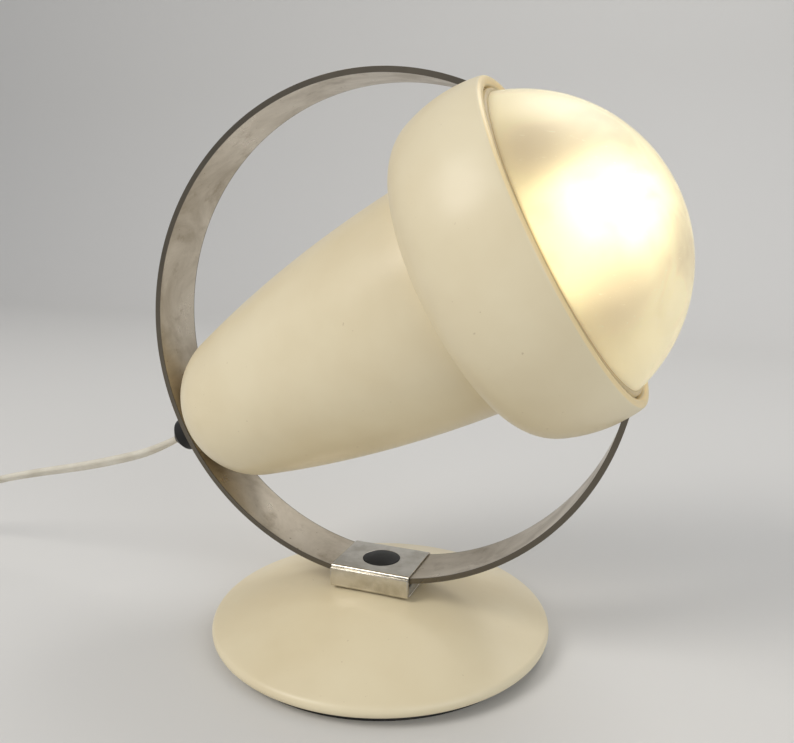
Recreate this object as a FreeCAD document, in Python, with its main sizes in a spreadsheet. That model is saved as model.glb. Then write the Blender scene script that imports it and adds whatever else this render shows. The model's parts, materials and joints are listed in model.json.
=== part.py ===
import FreeCAD, Part
import math
import os
import re
import Sketcher

# A table lamp: a long round head is carried by an open ring of flat strip, and the ring
# slides through a folded bracket on a heavy domed base, so that the head tips up and down.
# Frame: origin where the base rests, under the middle of the base. +Z is up, +X is where the
# head points, and the ring stands in the XZ plane.

doc = FreeCAD.newDocument("RingLamp")
sheet = doc.addObject("Spreadsheet::Sheet", "Sizes")

# Driving sizes in millimetres and degrees: name, value, what it is.
driving = [
    ("ringRadius", 115.0, "outside radius of the ring"),
    ("stripThickness", 2.5, "thickness of the ring's strip"),
    ("stripWidth", 29.0, "width of the ring's strip"),
    ("ringEndAngle", 37.5, "angle from the head's axis to each end of the strip"),
    ("headAngle", 28.4, "rise of the head above level"),
    ("slideGap", 0.3, "gap round a piece that slides"),
    ("fitGap", 0.1, "gap round a piece that is fixed in another"),
    ("padThickness", 4.6, "thickness of the pad under the base"),
    ("padRadius", 74.5, "radius of the pad"),
    ("baseRadius", 81.5, "radius of the base"),
    ("baseHeight", 26.0, "height of the base at its middle"),
    ("baseEdgeRadius", 3.0, "round of the base's edge"),
    ("baseWall", 1.6, "wall of the base's shell"),
    ("baseLipRadius", 70.0, "radius of the opening under the base"),
    ("coverThickness", 1.2, "thickness of the cover in the base"),
    ("coverRadius", 77.5, "radius of the cover"),
    ("weightRadius", 64.0, "radius of the weight"),
    ("weightAir", 1.0, "air between the weight and the shell"),
    ("weightBossRadius", 14.0, "radius of the weight's boss"),
    ("weightBossRoot", 17.0, "radius of the boss at its foot"),
    ("nutRecessRadius", 9.0, "radius of the recess for the nut"),
    ("nutRecessDepth", 8.2, "depth of the recess for the nut"),
    ("boltRadius", 3.0, "radius of the bracket's bolt"),
    ("boltHeadRadius", 5.5, "radius of the bolt's head"),
    ("boltHeadHeight", 2.2, "height of the bolt's head"),
    ("boltHeadSide", 1.3, "side of the bolt's head, below its round"),
    ("boltHeadTop", 4.1, "radius of the flat on the bolt's head"),
    ("nutAcross", 10.0, "nut across its flats"),
    ("nutHeight", 5.0, "height of the nut"),
    ("washerRadius", 6.2, "radius of the washer"),
    ("washerThickness", 1.2, "thickness of the washer"),
    ("boltEnd", 1.0, "bolt past its nut"),
    ("pinRadius", 1.5, "radius of the locating pin"),
    ("pinOffset", 12.0, "locating pin from the middle"),
    ("pinDepth", 1.6, "locating pin below the top of the base"),
    ("bracketLength", 39.3, "length of the bracket"),
    ("channelWall", 1.2, "sheet of the bracket's channel"),
    ("channelBend", 1.3, "inside radius of the channel's bends"),
    ("channelHeight", 10.0, "height of the channel"),
    ("channelEdgeRound", 0.5, "round of the channel's upper edges"),
    ("brakeSpace", 4.8, "space for the brake under the strip"),
    ("plateThickness", 0.7, "sheet of the bracket's plate"),
    ("plateBend", 0.3, "inside radius of the plate's bends"),
    ("shoeLength", 32.0, "length of the brake shoe"),
    ("shoeWidth", 26.0, "width of the brake shoe"),
    ("springLength", 28.0, "length of the brake spring"),
    ("springWidth", 22.0, "width of the brake spring"),
    ("springThickness", 0.4, "thickness of the brake spring"),
    ("springRise", 0.4, "rise of the bowed brake spring"),
    ("buttonRadius", 8.9, "radius of the button"),
    ("buttonFlange", 1.0, "flange of the button, outwards"),
    ("buttonFlangeHeight", 0.5, "thickness of the button's flange"),
    ("buttonSide", 0.2, "side of the button above the plate"),
    ("buttonRise", 1.2, "height of the button above the plate"),
    ("buttonGap", 0.2, "gap round the button"),
    ("noseStation", -111.0, "flat nose of the rear body, along the head's axis"),
    ("noseRadius", 8.0, "radius of the flat nose"),
    ("capRadius", 36.0, "round of the rear end"),
    ("capRimStation", -85.0, "where the round end meets the side"),
    ("capRimRadius", 37.1, "radius of the body there"),
    ("sideRadius", 600.0, "long curve of the body's side"),
    ("bodyFrontRadius", 54.4, "radius of the body at the shade"),
    ("bodyWall", 1.2, "wall of the rear body"),
    ("neckStation", 44.0, "back of the shade, along the head's axis"),
    ("neckRadius", 53.3, "inside radius of the shade's neck"),
    ("neckLength", 12.0, "length of the shade's neck"),
    ("shadeBulge", 22.0, "round of the shade's back"),
    ("shadeCrown", 64.0, "radius of the shade's bulged side"),
    ("shadeHalf", 18.1, "half of the bulged side's length"),
    ("shadeWall", 1.2, "wall of the shade"),
    ("lipRadius", 3.0, "radius of the rolled rim"),
    ("lipDepth", 3.2, "depth of the rim, backwards"),
    ("diffuserGap", 0.9, "gap between the rim and the diffuser"),
    ("diffuserWall", 2.0, "wall of the diffuser"),
    ("domeRadius", 72.6, "radius of the diffuser's dome"),
    ("skirtLength", 8.4, "length of the diffuser's skirt"),
    ("skirtDrop", 0.8, "skirt's front edge, behind the rim's middle"),
    ("clipThickness", 0.6, "sheet of the diffuser's clips"),
    ("clipLength", 7.0, "length of the diffuser's clips"),
    ("clipLeg", 5.0, "leg of each clip on the rim"),
    ("clipAngle", 8.0, "width of each clip, round the axis"),
    ("clipCount", 3, "number of clips"),
    ("slotStart", 38.3, "angle from the head's axis to the front of the shade's slots"),
    ("slotEnd", 50.0, "angle from the head's axis to the back of the shade's slots"),
    ("neckScrewStation", 51.0, "screws that join shade and body, along the axis"),
    ("neckScrewRadius", 1.5, "radius of those screws"),
    ("neckScrewHead", 2.8, "radius of their heads"),
    ("neckScrewHeadHeight", 1.8, "height of their heads"),
    ("neckScrewLength", 5.0, "length of those screws"),
    ("neckScrewCount", 3, "number of those screws"),
    ("blockWidth", 18.0, "width of the blocks at the ring's ends"),
    ("blockBack", 70.0, "back of the blocks, along the head's axis"),
    ("blockDepth", 9.0, "depth of the blocks, inwards"),
    ("blockInset", 1.15, "blocks in from the shade's inside"),
    ("blockTipAngle", 38.5, "angle from the head's axis to the tip of each block"),
    ("endScrewAngle", 38.9, "angle from the head's axis to each end screw"),
    ("endScrewRadius", 1.25, "radius of the end screws"),
    ("endScrewHead", 1.9, "radius of their heads"),
    ("endScrewHeadHeight", 0.8, "height of their heads"),
    ("endScrewLength", 7.0, "length of the end screws"),
    ("stemRadius", 5.0, "radius of the threaded stem"),
    ("stemBore", 3.4, "radius of the stem's bore"),
    ("stemNutAcross", 14.0, "stem nuts across their flats"),
    ("stemNutHeight", 3.0, "height of the stem nuts"),
    ("glandRadius", 8.5, "radius of the cable gland's flange"),
    ("glandFlange", 4.0, "height of the gland's flange"),
    ("glandWaist", 6.5, "radius of the gland's waist"),
    ("glandNose", 5.2, "radius of the gland's nose"),
    ("glandTaper", 7.2, "where the gland's cone ends, from the ring"),
    ("glandEdge", 0.8, "bevel of the gland's nose"),
    ("glandLength", 15.8, "length of the cable gland"),
    ("glandGrip", 6.5, "length of the gland past the stem"),
    ("cordRadius", 2.2, "radius of the cord"),
    ("flexEnd", 2.0, "inner flex past the last stem nut"),
    ("holderRadius", 20.0, "radius of the lampholder"),
    ("holderWall", 2.5, "wall of the lampholder"),
    ("holderBack", -10.0, "back of the lampholder, along the head's axis"),
    ("holderSplit", 12.0, "where the lampholder's two halves meet"),
    ("holderFront", 46.0, "front of the lampholder"),
    ("holderSlope", 8.0, "sloped back of the lampholder"),
    ("holderEdge", 1.5, "bevel of the lampholder's front"),
    ("holderMouth", 15.0, "radius of the lampholder's mouth"),
    ("insertThickness", 5.6, "thickness of the ceramic insert"),
    ("screwShellRadius", 14.2, "outside radius of the screw shell"),
    ("screwShellWall", 0.5, "wall of the screw shell"),
    ("screwShellFoot", 2.0, "foot of the screw shell, outwards"),
    ("screwShellFootHeight", 1.5, "height of that foot"),
    ("screwShellInset", 2.0, "screw shell behind the lampholder's front"),
    ("contactRadius", 4.0, "radius of the centre contact"),
    ("contactHeight", 5.8, "height of the centre contact"),
    ("contactSide", 2.3, "straight side of the centre contact"),
    ("contactTip", 2.4, "radius of the centre contact's tip"),
    ("bulbCapRadius", 13.2, "radius of the bulb's cap"),
    ("bulbCapWall", 0.5, "wall of the bulb's cap"),
    ("bulbCapSlope", 5.0, "sloped foot of the bulb's cap"),
    ("bulbTipRadius", 4.7, "radius of the bulb's tip"),
    ("bulbTipBevel", 1.0, "bevel of the bulb's tip"),
    ("bulbTipHeight", 2.5, "height of the bulb's tip"),
    ("bulbCapLength", 25.0, "length of the bulb's cap"),
    ("bulbRadius", 30.0, "radius of the bulb"),
    ("bulbLength", 108.9, "length of the bulb"),
    ("bulbWall", 0.8, "wall of the bulb"),
    ("bulbNeckDepth", 6.0, "bulb's neck inside its cap"),
    ("bulbNeckRise", 4.0, "straight neck of the bulb above its cap"),
    ("bulbNeckAngle", 120.0, "where the bulb's neck meets its ball, from the front"),
    ("terminalOffset", 10.0, "terminal screws from the axis"),
    ("terminalRadius", 2.0, "radius of the terminal screws"),
    ("terminalHeight", 4.0, "height of the terminal screws"),
    ("leadRadius", 0.9, "radius of the two inner leads"),
    ("leadSpread", 1.1, "each lead from the axis where it leaves the flex"),
    ("switchLength", 56.0, "length of the cord switch"),
    ("switchWidth", 25.0, "width of the cord switch"),
    ("switchHeight", 16.0, "height of the cord switch"),
    ("switchSplit", 8.0, "height of the split between its shells"),
    ("switchCorner", 8.0, "corner radius of the cord switch"),
    ("switchWall", 1.6, "wall of the cord switch"),
    ("switchAcross", -338.0, "cord switch along X"),
    ("switchAlong", -64.0, "cord switch along Y"),
    ("rockerRadius", 9.5, "radius of the rocker's ends"),
    ("rockerWidth", 10.4, "width of the rocker"),
    ("rockerPivot", 13.0, "height of the rocker's pivot"),
    ("rockerTop", 3.5, "rocker's ends above its pivot"),
    ("rockerValley", 1.6, "rocker's middle above its pivot"),
    ("rockerDepth", 4.0, "rocker below its pivot"),
    ("rockerTilt", 8.0, "tilt of the rocker when it is on"),
    ("rockerPinRadius", 1.0, "radius of the rocker's pin"),
    ("cheekThickness", 2.0, "thickness of the cheeks that hold the pin"),
    ("cheekWidth", 6.0, "width of the cheeks"),
    ("cheekDrop", 5.0, "height of the cheeks"),
    ("switchScrewOffset", 21.0, "switch screws from its middle"),
    ("switchScrewRadius", 1.4, "radius of the switch screws"),
    ("switchScrewHead", 2.6, "radius of their heads"),
    ("switchScrewHeadHeight", 1.4, "height of their heads"),
    ("cordLead", 18.0, "straight run of the cord from the gland"),
    ("cordApproach", -20.0, "where the cord lines up with the switch, along Y"),
    ("coilRadius", 31.0, "radius of the coil at the middle of its turns"),
    ("coilWidth", 22.2, "width of the coil's bundle"),
    ("coilHeight", 10.2, "height of the coil"),
    ("coilRound", 2.2, "round of the coil's edges"),
    ("coilAcross", -272.0, "coil along X"),
    ("coilAlong", -84.0, "coil along Y"),
    ("plugLength", 36.0, "length of the plug's body"),
    ("plugWidth", 35.0, "width of the plug's body"),
    ("plugThickness", 13.7, "thickness of the plug's body"),
    ("plugShoulder", 19.8, "widest place of the plug, from the cord"),
    ("plugTaper", 2.0, "plug's sides in at its face"),
    ("plugTailWidth", 12.0, "width of the plug at the cord"),
    ("plugAcross", -290.0, "plug's cord end along X"),
    ("plugAlong", -114.0, "plug along Y"),
    ("plugPinRadius", 2.0, "radius of the plug's pins"),
    ("plugPinLength", 19.0, "length of the plug's pins"),
    ("plugPinSpacing", 18.6, "spacing of the plug's pins"),
]

# Sizes that follow from them: name, how.
following = [
    ("ringBore", "ringRadius - stripThickness"),
    ("ringHeight", "baseHeight + channelWall + brakeSpace + ringRadius"),
    ("headTurn", "90 - headAngle"),
    ("baseEdgeHeight", "padThickness + baseEdgeRadius"),
    ("baseEdgeMiddle", "baseRadius - baseEdgeRadius"),
    ("baseRise", "baseHeight - baseEdgeHeight"),
    (
        "baseCrown",
        "(baseRise^2 + baseEdgeMiddle^2 - baseEdgeRadius^2) / (2 * (baseRise - baseEdgeRadius))",
    ),
    ("coverBottom", "padThickness + baseWall"),
    ("coverTop", "coverBottom + coverThickness"),
    ("boltHole", "boltRadius + fitGap"),
    ("recessTop", "coverTop + nutRecessDepth"),
    ("floorTop", "baseHeight + channelWall"),
    ("channelTop", "baseHeight + channelHeight"),
    ("channelHalf", "stripWidth / 2 + slideGap + plateThickness + fitGap + channelWall"),
    ("plateHalf", "stripWidth / 2 + slideGap + plateThickness"),
    (
        "plateBottom",
        "ringHeight - sqrt(ringBore^2 - (bracketLength / 2)^2) + slideGap",
    ),
    ("plateTop", "plateBottom + plateThickness"),
    ("shoeBottom", "floorTop + springRise + springThickness + fitGap"),
    ("shadeAngle", "asin(shadeHalf / shadeCrown) / 1deg"),
    ("shoulderStation", "neckStation + shadeBulge * (1 - sin(shadeAngle * 1deg))"),
    ("shoulderRadius", "neckRadius + shadeBulge * cos(shadeAngle * 1deg)"),
    ("rimStation", "shoulderStation + 2 * shadeHalf"),
    ("crownStation", "shoulderStation + shadeHalf"),
    ("crownMiddle", "shoulderRadius - shadeCrown * cos(shadeAngle * 1deg)"),
    ("lipMiddle", "shoulderRadius - lipRadius * cos(shadeAngle * 1deg)"),
    ("lipStation", "rimStation - lipRadius * sin(shadeAngle * 1deg)"),
    ("lipInside", "lipMiddle - lipRadius"),
    ("lipBack", "lipStation - lipDepth"),
    ("skirtRadius", "lipInside - diffuserGap"),
    ("skirtTop", "lipStation - skirtDrop"),
    ("domeStation", "skirtTop - sqrt(domeRadius^2 - skirtRadius^2)"),
    ("holderInside", "holderRadius - holderWall"),
    ("insertTop", "holderSplit + insertThickness"),
    ("contactTop", "insertTop + contactHeight"),
    ("bulbBottom", "contactTop + fitGap"),
    ("bulbCapTop", "bulbBottom + bulbCapLength"),
    ("bulbStation", "bulbBottom + bulbLength - bulbRadius"),
    ("glandEnd", "ringRadius + glandLength"),
    ("stemEnd", "glandEnd - glandGrip"),
    ("windowHalf", "rockerRadius + slideGap"),
    ("windowSide", "rockerWidth / 2 + slideGap"),
]


def fillSheet():
    row = 1
    for name, value, words in driving:
        sheet.set("A%d" % row, words)
        sheet.set("B%d" % row, str(value))
        sheet.setAlias("B%d" % row, name)
        row += 1
    for name, formula in following:
        sheet.set("A%d" % row, name)
        sheet.set("B%d" % row, "=" + formula)
        sheet.setAlias("B%d" % row, name)
        row += 1
        sheet.recompute()
    doc.recompute()


fillSheet()
names = [entry[0] for entry in driving + following]
pattern = re.compile(r"\b(" + "|".join(names) + r")\b")


def linked(formula):
    # the same formula, as another object of the document reads it
    return pattern.sub(r"Sizes.\1", formula)


# how close two lengths are that count as the same
same = 0.01

known = {}


def number(formula):
    # the formula's value, kept for the next time it is asked for
    if formula not in known:
        sheet.set("D1", "=" + formula)
        sheet.recompute()
        known[formula] = float(sheet.get("D1"))
    return known[formula]


def bind(thing, prop, formula):
    thing.setExpression(prop, linked(formula))


# Sketches, whose corners and radii follow the sheet


def newBody(label):
    body = doc.addObject("PartDesign::Body", label)
    body.Label = label
    body.AllowCompound = True
    return body


def newSketch(body, plane, label):
    sketch = body.newObject("Sketcher::SketchObject", body.Label + "_" + label)
    for feature in body.Origin.OriginFeatures:
        if feature.Role == plane:
            sketch.AttachmentSupport = (feature, [""])
    sketch.MapMode = "FlatFace"
    return sketch


def fix(sketch, geometry, point, across, along):
    x, y = number(across), number(along)
    for kind, value, formula in (("DistanceX", x, across), ("DistanceY", y, along)):
        held = sketch.addConstraint(Sketcher.Constraint(kind, -1, 1, geometry, point, value))
        bind(sketch, "Constraints[%d]" % held, formula)


def arcBetween(start, end, radius, side):
    # the short arc from start to end, turning left for side 1 and right for side -1
    chord = end - start
    half = chord.Length / 2
    rise = math.sqrt(max(radius * radius - half * half, 0.0))
    across = FreeCAD.Vector(-chord.y, chord.x, 0).normalize()
    middle = start + chord * 0.5 + across * rise * side
    first, last = (start, end) if side > 0 else (end, start)
    begin = math.atan2(first.y - middle.y, first.x - middle.x)
    finish = math.atan2(last.y - middle.y, last.x - middle.x)
    if finish < begin:
        finish += 2 * math.pi
    circle = Part.Circle(middle, FreeCAD.Vector(0, 0, 1), radius)
    return Part.ArcOfCircle(circle, begin, finish)


def outline(sketch, corners):
    # corners: (across, along) for a straight side that starts there,
    # or (across, along, radius, side) for an arc that starts there
    places = [FreeCAD.Vector(number(c[0]), number(c[1]), 0) for c in corners]
    ends = []
    for index, corner in enumerate(corners):
        start, end = places[index], places[(index + 1) % len(corners)]
        if len(corner) == 2:
            ends.append((sketch.addGeometry(Part.LineSegment(start, end), False), 1, 2))
        else:
            arc = arcBetween(start, end, number(corner[2]), corner[3])
            side = (1, 2) if corner[3] > 0 else (2, 1)
            ends.append((sketch.addGeometry(arc, False),) + side)
    for index, (geometry, start, end) in enumerate(ends):
        after = ends[(index + 1) % len(ends)]
        sketch.addConstraint(Sketcher.Constraint("Coincident", geometry, end, after[0], after[1]))
    for (geometry, start, end), corner in zip(ends, corners):
        fix(sketch, geometry, start, corner[0], corner[1])
        if len(corner) > 2:
            held = sketch.addConstraint(
                Sketcher.Constraint("Radius", geometry, number(corner[2]))
            )
            bind(sketch, "Constraints[%d]" % held, corner[2])


def circle(sketch, across, along, radius):
    middle = FreeCAD.Vector(number(across), number(along), 0)
    ring = Part.Circle(middle, FreeCAD.Vector(0, 0, 1), number(radius))
    geometry = sketch.addGeometry(ring, False)
    held = sketch.addConstraint(Sketcher.Constraint("Radius", geometry, number(radius)))
    bind(sketch, "Constraints[%d]" % held, radius)
    fix(sketch, geometry, 3, across, along)


def rectangle(sketch, left, bottom, right, top):
    outline(sketch, [(left, bottom), (right, bottom), (right, top), (left, top)])


def revolve(body, corners, label="Turn", angle="360"):
    # corners are (radius, height) in the body's XZ plane
    sketch = newSketch(body, "XZ_Plane", label + "Sketch")
    outline(sketch, corners)
    turn = body.newObject("PartDesign::Revolution", body.Label + "_" + label)
    turn.Profile = (sketch, [""])
    turn.ReferenceAxis = (sketch, ["V_Axis"])
    bind(turn, "Angle", angle)
    turn.Refine = True
    return turn


def turned(label, corners, head=False):
    body = newBody(label)
    revolve(body, corners)
    if head:
        placeOnHead(body)
    return body


def extrude(body, plane, draw, length, label="Pad", symmetric=True, reverse=False):
    sketch = newSketch(body, plane, label + "Sketch")
    draw(sketch)
    pad = body.newObject("PartDesign::Pad", body.Label + "_" + label)
    pad.Profile = (sketch, [""])
    pad.SideType = "Symmetric" if symmetric else "One side"
    pad.Reversed = reverse
    bind(pad, "Length", length)
    return pad


def cut(body, plane, draw, label="Cut", length=None, reverse=False, base=None):
    # through everything on both sides of the plane, or as deep as length
    doc.recompute()
    before = body.Shape.Volume
    sketch = newSketch(body, plane, label + "Sketch")
    if base is not None:
        sketch.AttachmentOffset.Base = FreeCAD.Vector(0, 0, number(base))
        bind(sketch, "AttachmentOffset.Base.z", base)
    draw(sketch)
    pocket = body.newObject("PartDesign::Pocket", body.Label + "_" + label)
    pocket.Profile = (sketch, [""])
    if length is None:
        pocket.Type = "ThroughAll"
        pocket.SideType = "Symmetric"
    else:
        pocket.SideType = "One side"
        pocket.Reversed = reverse
        bind(pocket, "Length", length)
    doc.recompute()
    if not body.Shape.Volume < before:
        raise RuntimeError(body.Label + " " + label + " cuts nothing")
    return pocket


def roundEdges(body, chosen, radius, label="Round"):
    # chosen tells, of an edge's middle and direction, whether it is rounded
    doc.recompute()
    shape = body.Tip.Shape
    picked = []
    for index, edge in enumerate(shape.Edges):
        start, end = edge.Vertexes[0].Point, edge.Vertexes[-1].Point
        middle = edge.valueAt((edge.FirstParameter + edge.LastParameter) / 2)
        if chosen(middle, end - start):
            picked.append("Edge%d" % (index + 1))
    fillet = body.newObject("PartDesign::Fillet", body.Label + "_" + label)
    fillet.Base = (body.Tip if body.Tip != fillet else fillet.BaseFeature, picked)
    bind(fillet, "Radius", radius)
    doc.recompute()
    return fillet


def headPlacement():
    return FreeCAD.Placement(
        FreeCAD.Vector(0, 0, number("ringHeight")),
        FreeCAD.Rotation(FreeCAD.Vector(0, 1, 0), number("headTurn")),
    )


def placeOnHead(thing):
    # the body's Z axis becomes the head's axis, from the ring's middle
    thing.Placement = headPlacement()
    bind(thing, "Placement.Base.z", "ringHeight")
    bind(thing, "Placement.Rotation.Angle", "headTurn")


def crownAt(radius, wall="0"):
    # height of the base's dome at a radius, less a wall measured square to it
    return "(baseHeight - baseCrown + sqrt((baseCrown - (%s))^2 - (%s)^2))" % (wall, radius)


def edgeTangent(wall="0"):
    # where the dome meets the round of the base's edge
    share = "((baseCrown - (%s)) / (baseCrown - baseEdgeRadius))" % wall
    return (
        "baseEdgeMiddle * " + share,
        "baseHeight - baseCrown + (baseCrown - baseRise) * " + share,
    )


# Base


def makeBaseShell():
    outer, inner = edgeTangent(), edgeTangent("baseWall")
    under = "padThickness"
    shell = turned(
        "base_shell",
        [
            ("boltHole", crownAt("boltHole"), "baseCrown", -1),
            (outer[0], outer[1], "baseEdgeRadius", -1),
            ("baseEdgeMiddle", under),
            ("baseLipRadius", under),
            ("baseLipRadius", under + " + baseWall"),
            ("baseEdgeMiddle", under + " + baseWall", "baseEdgeRadius - baseWall", 1),
            (inner[0], inner[1], "baseCrown - baseWall", 1),
            ("boltHole", crownAt("boltHole", "baseWall")),
        ],
    )
    cut(
        shell,
        "XY_Plane",
        lambda s: circle(s, "pinOffset", "0", "pinRadius"),
        "PinHole",
        "baseHeight",
        True,
    )
    return shell


def makeBaseWeight():
    air = "baseWall + weightAir"
    return turned(
        "base_weight",
        [
            ("boltHole", "recessTop"),
            ("nutRecessRadius", "recessTop"),
            ("nutRecessRadius", "coverTop"),
            ("weightRadius", "coverTop"),
            ("weightRadius", crownAt("weightRadius", air), "baseCrown - (%s)" % air, 1),
            ("weightBossRoot", crownAt("weightBossRoot", air)),
            ("weightBossRadius", crownAt("weightBossRadius", "baseWall")),
            ("boltHole", crownAt("weightBossRadius", "baseWall")),
        ],
    )


def makeBasePad():
    corners = [("0", "0"), ("padRadius", "0"), ("padRadius", "padThickness"), ("0", "padThickness")]
    return turned("base_pad", corners)


def makeBaseCover():
    corners = [
        ("0", "coverBottom"),
        ("coverRadius", "coverBottom"),
        ("coverRadius", "coverTop"),
        ("0", "coverTop"),
    ]
    return turned("base_cover", corners)


def makeBracketBolt():
    nutBottom = "recessTop - washerThickness - nutHeight"
    return turned(
        "bracket_bolt",
        [
            ("0", nutBottom + " - boltEnd"),
            ("boltRadius", nutBottom + " - boltEnd"),
            ("boltRadius", "floorTop"),
            ("boltHeadRadius", "floorTop"),
            ("boltHeadRadius", "floorTop + boltHeadSide"),
            ("boltHeadTop", "floorTop + boltHeadHeight"),
            ("0", "floorTop + boltHeadHeight"),
        ],
    )


def makeBoltWasher():
    top = "recessTop"
    bottom = "recessTop - washerThickness"
    corners = [("boltHole", bottom), ("washerRadius", bottom), ("washerRadius", top), ("boltHole", top)]
    return turned("bolt_washer", corners)


def hexagon(sketch, across):
    # a hexagon of that width across its flats, round the origin
    corner = "(%s) / sqrt(3)" % across
    half = "(%s) / 2" % across
    outline(
        sketch,
        [
            (corner, "0"),
            (corner + " / 2", half),
            ("-(" + corner + ") / 2", half),
            ("-(" + corner + ")", "0"),
            ("-(" + corner + ") / 2", "-(" + half + ")"),
            (corner + " / 2", "-(" + half + ")"),
        ],
    )


def makeNut(label, across, bore, bottom, height):
    body = newBody(label)
    sketch = newSketch(body, "XY_Plane", "Hexagon")
    hexagon(sketch, across)
    circle(sketch, "0", "0", bore)
    sketch.AttachmentOffset.Base = FreeCAD.Vector(0, 0, number(bottom))
    bind(sketch, "AttachmentOffset.Base.z", bottom)
    pad = body.newObject("PartDesign::Pad", label + "_Pad")
    pad.Profile = (sketch, [""])
    bind(pad, "Length", height)
    return body


def makeLocatingPin():
    body = newBody("locating_pin")
    extrude(
        body,
        "XY_Plane",
        lambda s: circle(s, "pinOffset", "0", "pinRadius"),
        "pinDepth + channelWall",
        symmetric=False,
    )
    body.Placement.Base.z = number("baseHeight - pinDepth")
    bind(body, "Placement.Base.z", "baseHeight - pinDepth")
    return body


# Bracket


def makeBracketChannel():
    body = newBody("bracket_channel")
    bend = "channelWall + channelBend"
    inside = "channelHalf - channelWall"
    half = "channelHalf"
    flat = "channelHalf - channelWall - channelBend"

    def profile(sketch):
        outline(
            sketch,
            [
                ("-" + half, "channelTop"),
                ("-" + half, "baseHeight + " + bend, bend, 1),
                ("-(" + flat + ")", "baseHeight"),
                (flat, "baseHeight", bend, 1),
                (half, "baseHeight + " + bend),
                (half, "channelTop"),
                (inside, "channelTop"),
                (inside, "floorTop + channelBend", "channelBend", -1),
                (flat, "floorTop"),
                ("-(" + flat + ")", "floorTop", "channelBend", -1),
                ("-(" + inside + ")", "floorTop + channelBend"),
                ("-(" + inside + ")", "channelTop"),
            ],
        )

    def holes(sketch):
        circle(sketch, "0", "0", "boltHole")
        circle(sketch, "pinOffset", "0", "pinRadius")

    extrude(body, "YZ_Plane", profile, "bracketLength")
    cut(body, "XY_Plane", holes, "Holes")
    top = number("channelTop")
    outerFace = number("channelHalf")
    roundEdges(
        body,
        lambda middle, along: abs(middle.z - top) < same
        and abs(abs(middle.y) - outerFace) < same
        and abs(along.x) > same,
        "channelEdgeRound",
    )
    return body


def makeBracketPlate():
    body = newBody("bracket_plate")
    bend = "plateThickness + plateBend"
    half = "plateHalf"
    flat = "plateHalf - plateThickness - plateBend"
    inside = "plateHalf - plateThickness"
    foot = "floorTop + channelBend"

    def profile(sketch):
        outline(
            sketch,
            [
                ("-" + half, foot),
                ("-" + half, "plateTop - (%s)" % bend, bend, -1),
                ("-(" + flat + ")", "plateTop"),
                (flat, "plateTop", bend, -1),
                (half, "plateTop - (%s)" % bend),
                (half, foot),
                (inside, foot),
                (inside, "plateTop - (%s)" % bend, "plateBend", 1),
                (flat, "plateBottom"),
                ("-(" + flat + ")", "plateBottom", "plateBend", 1),
                ("-(" + inside + ")", "plateTop - (%s)" % bend),
                ("-(" + inside + ")", foot),
            ],
        )

    extrude(body, "YZ_Plane", profile, "bracketLength")
    cut(body, "XY_Plane", lambda s: circle(s, "0", "0", "buttonRadius + buttonGap"), "ButtonHole")
    return body


def makeBrakeShoe():
    body = newBody("brake_shoe")
    half = "shoeLength / 2"
    face = "ringRadius + slideGap"
    edge = "ringHeight - sqrt((%s)^2 - (%s)^2)" % (face, half)

    def profile(sketch):
        outline(
            sketch,
            [
                ("-(" + half + ")", "shoeBottom"),
                (half, "shoeBottom"),
                (half, edge, face, -1),
                ("-(" + half + ")", edge),
            ],
        )

    extrude(body, "XZ_Plane", profile, "shoeWidth")
    cut(
        body,
        "XY_Plane",
        lambda s: circle(s, "0", "0", "boltHeadRadius + slideGap"),
        "HeadPocket",
        "floorTop + boltHeadHeight + slideGap",
        True,
    )
    return body


def makeBrakeSpring():
    body = newBody("brake_spring")
    half = "springLength / 2"
    bow = "((%s)^2 + springRise^2) / (2 * springRise)" % half
    low, high = "floorTop", "floorTop + springThickness"

    def profile(sketch):
        outline(
            sketch,
            [
                ("-(" + half + ")", low, bow, -1),
                (half, low),
                (half, high, bow, 1),
                ("-(" + half + ")", high),
            ],
        )

    extrude(body, "XZ_Plane", profile, "springWidth")
    cut(body, "XY_Plane", lambda s: circle(s, "0", "0", "boltHeadRadius + slideGap"), "Hole")
    return body


def makeReleaseButton():
    bottom = "plateBottom - fitGap - buttonFlangeHeight"
    rise = "(buttonRise - buttonSide)"
    dome = "(buttonRadius^2 + %s^2) / (2 * %s)" % (rise, rise)
    return turned(
        "release_button",
        [
            ("0", bottom),
            ("buttonRadius + buttonFlange", bottom),
            ("buttonRadius + buttonFlange", "plateBottom - fitGap"),
            ("buttonRadius", "plateBottom - fitGap"),
            ("buttonRadius", "plateTop + buttonSide", dome, 1),
            ("0", "plateTop + buttonRise"),
        ],
    )


def radialHole(body, angle, along, radius, label):
    # a hole square to the body's Y axis, outwards from it, at an angle from its Z axis
    doc.recompute()
    before = body.Shape.Volume
    sketch = newSketch(body, "XY_Plane", label + "Sketch")
    sketch.AttachmentOffset = FreeCAD.Placement(
        FreeCAD.Vector(0, 0, 0),
        FreeCAD.Rotation(FreeCAD.Vector(0, 1, 0), number(angle)),
    )
    bind(sketch, "AttachmentOffset.Rotation.Angle", angle)
    circle(sketch, along, "0", radius)
    pocket = body.newObject("PartDesign::Pocket", body.Label + "_" + label)
    pocket.Profile = (sketch, [""])
    pocket.Type = "ThroughAll"
    pocket.SideType = "One side"
    pocket.Reversed = True
    doc.recompute()
    if not body.Shape.Volume < before:
        raise RuntimeError(body.Label + " " + label + " cuts nothing")
    return pocket


# Ring and head, along the head's axis


def polar(radius, angle):
    # across and along the head's axis, from the ring's middle
    return (
        "(%s) * sin((%s) * 1deg)" % (radius, angle),
        "(%s) * cos((%s) * 1deg)" % (radius, angle),
    )


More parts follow.
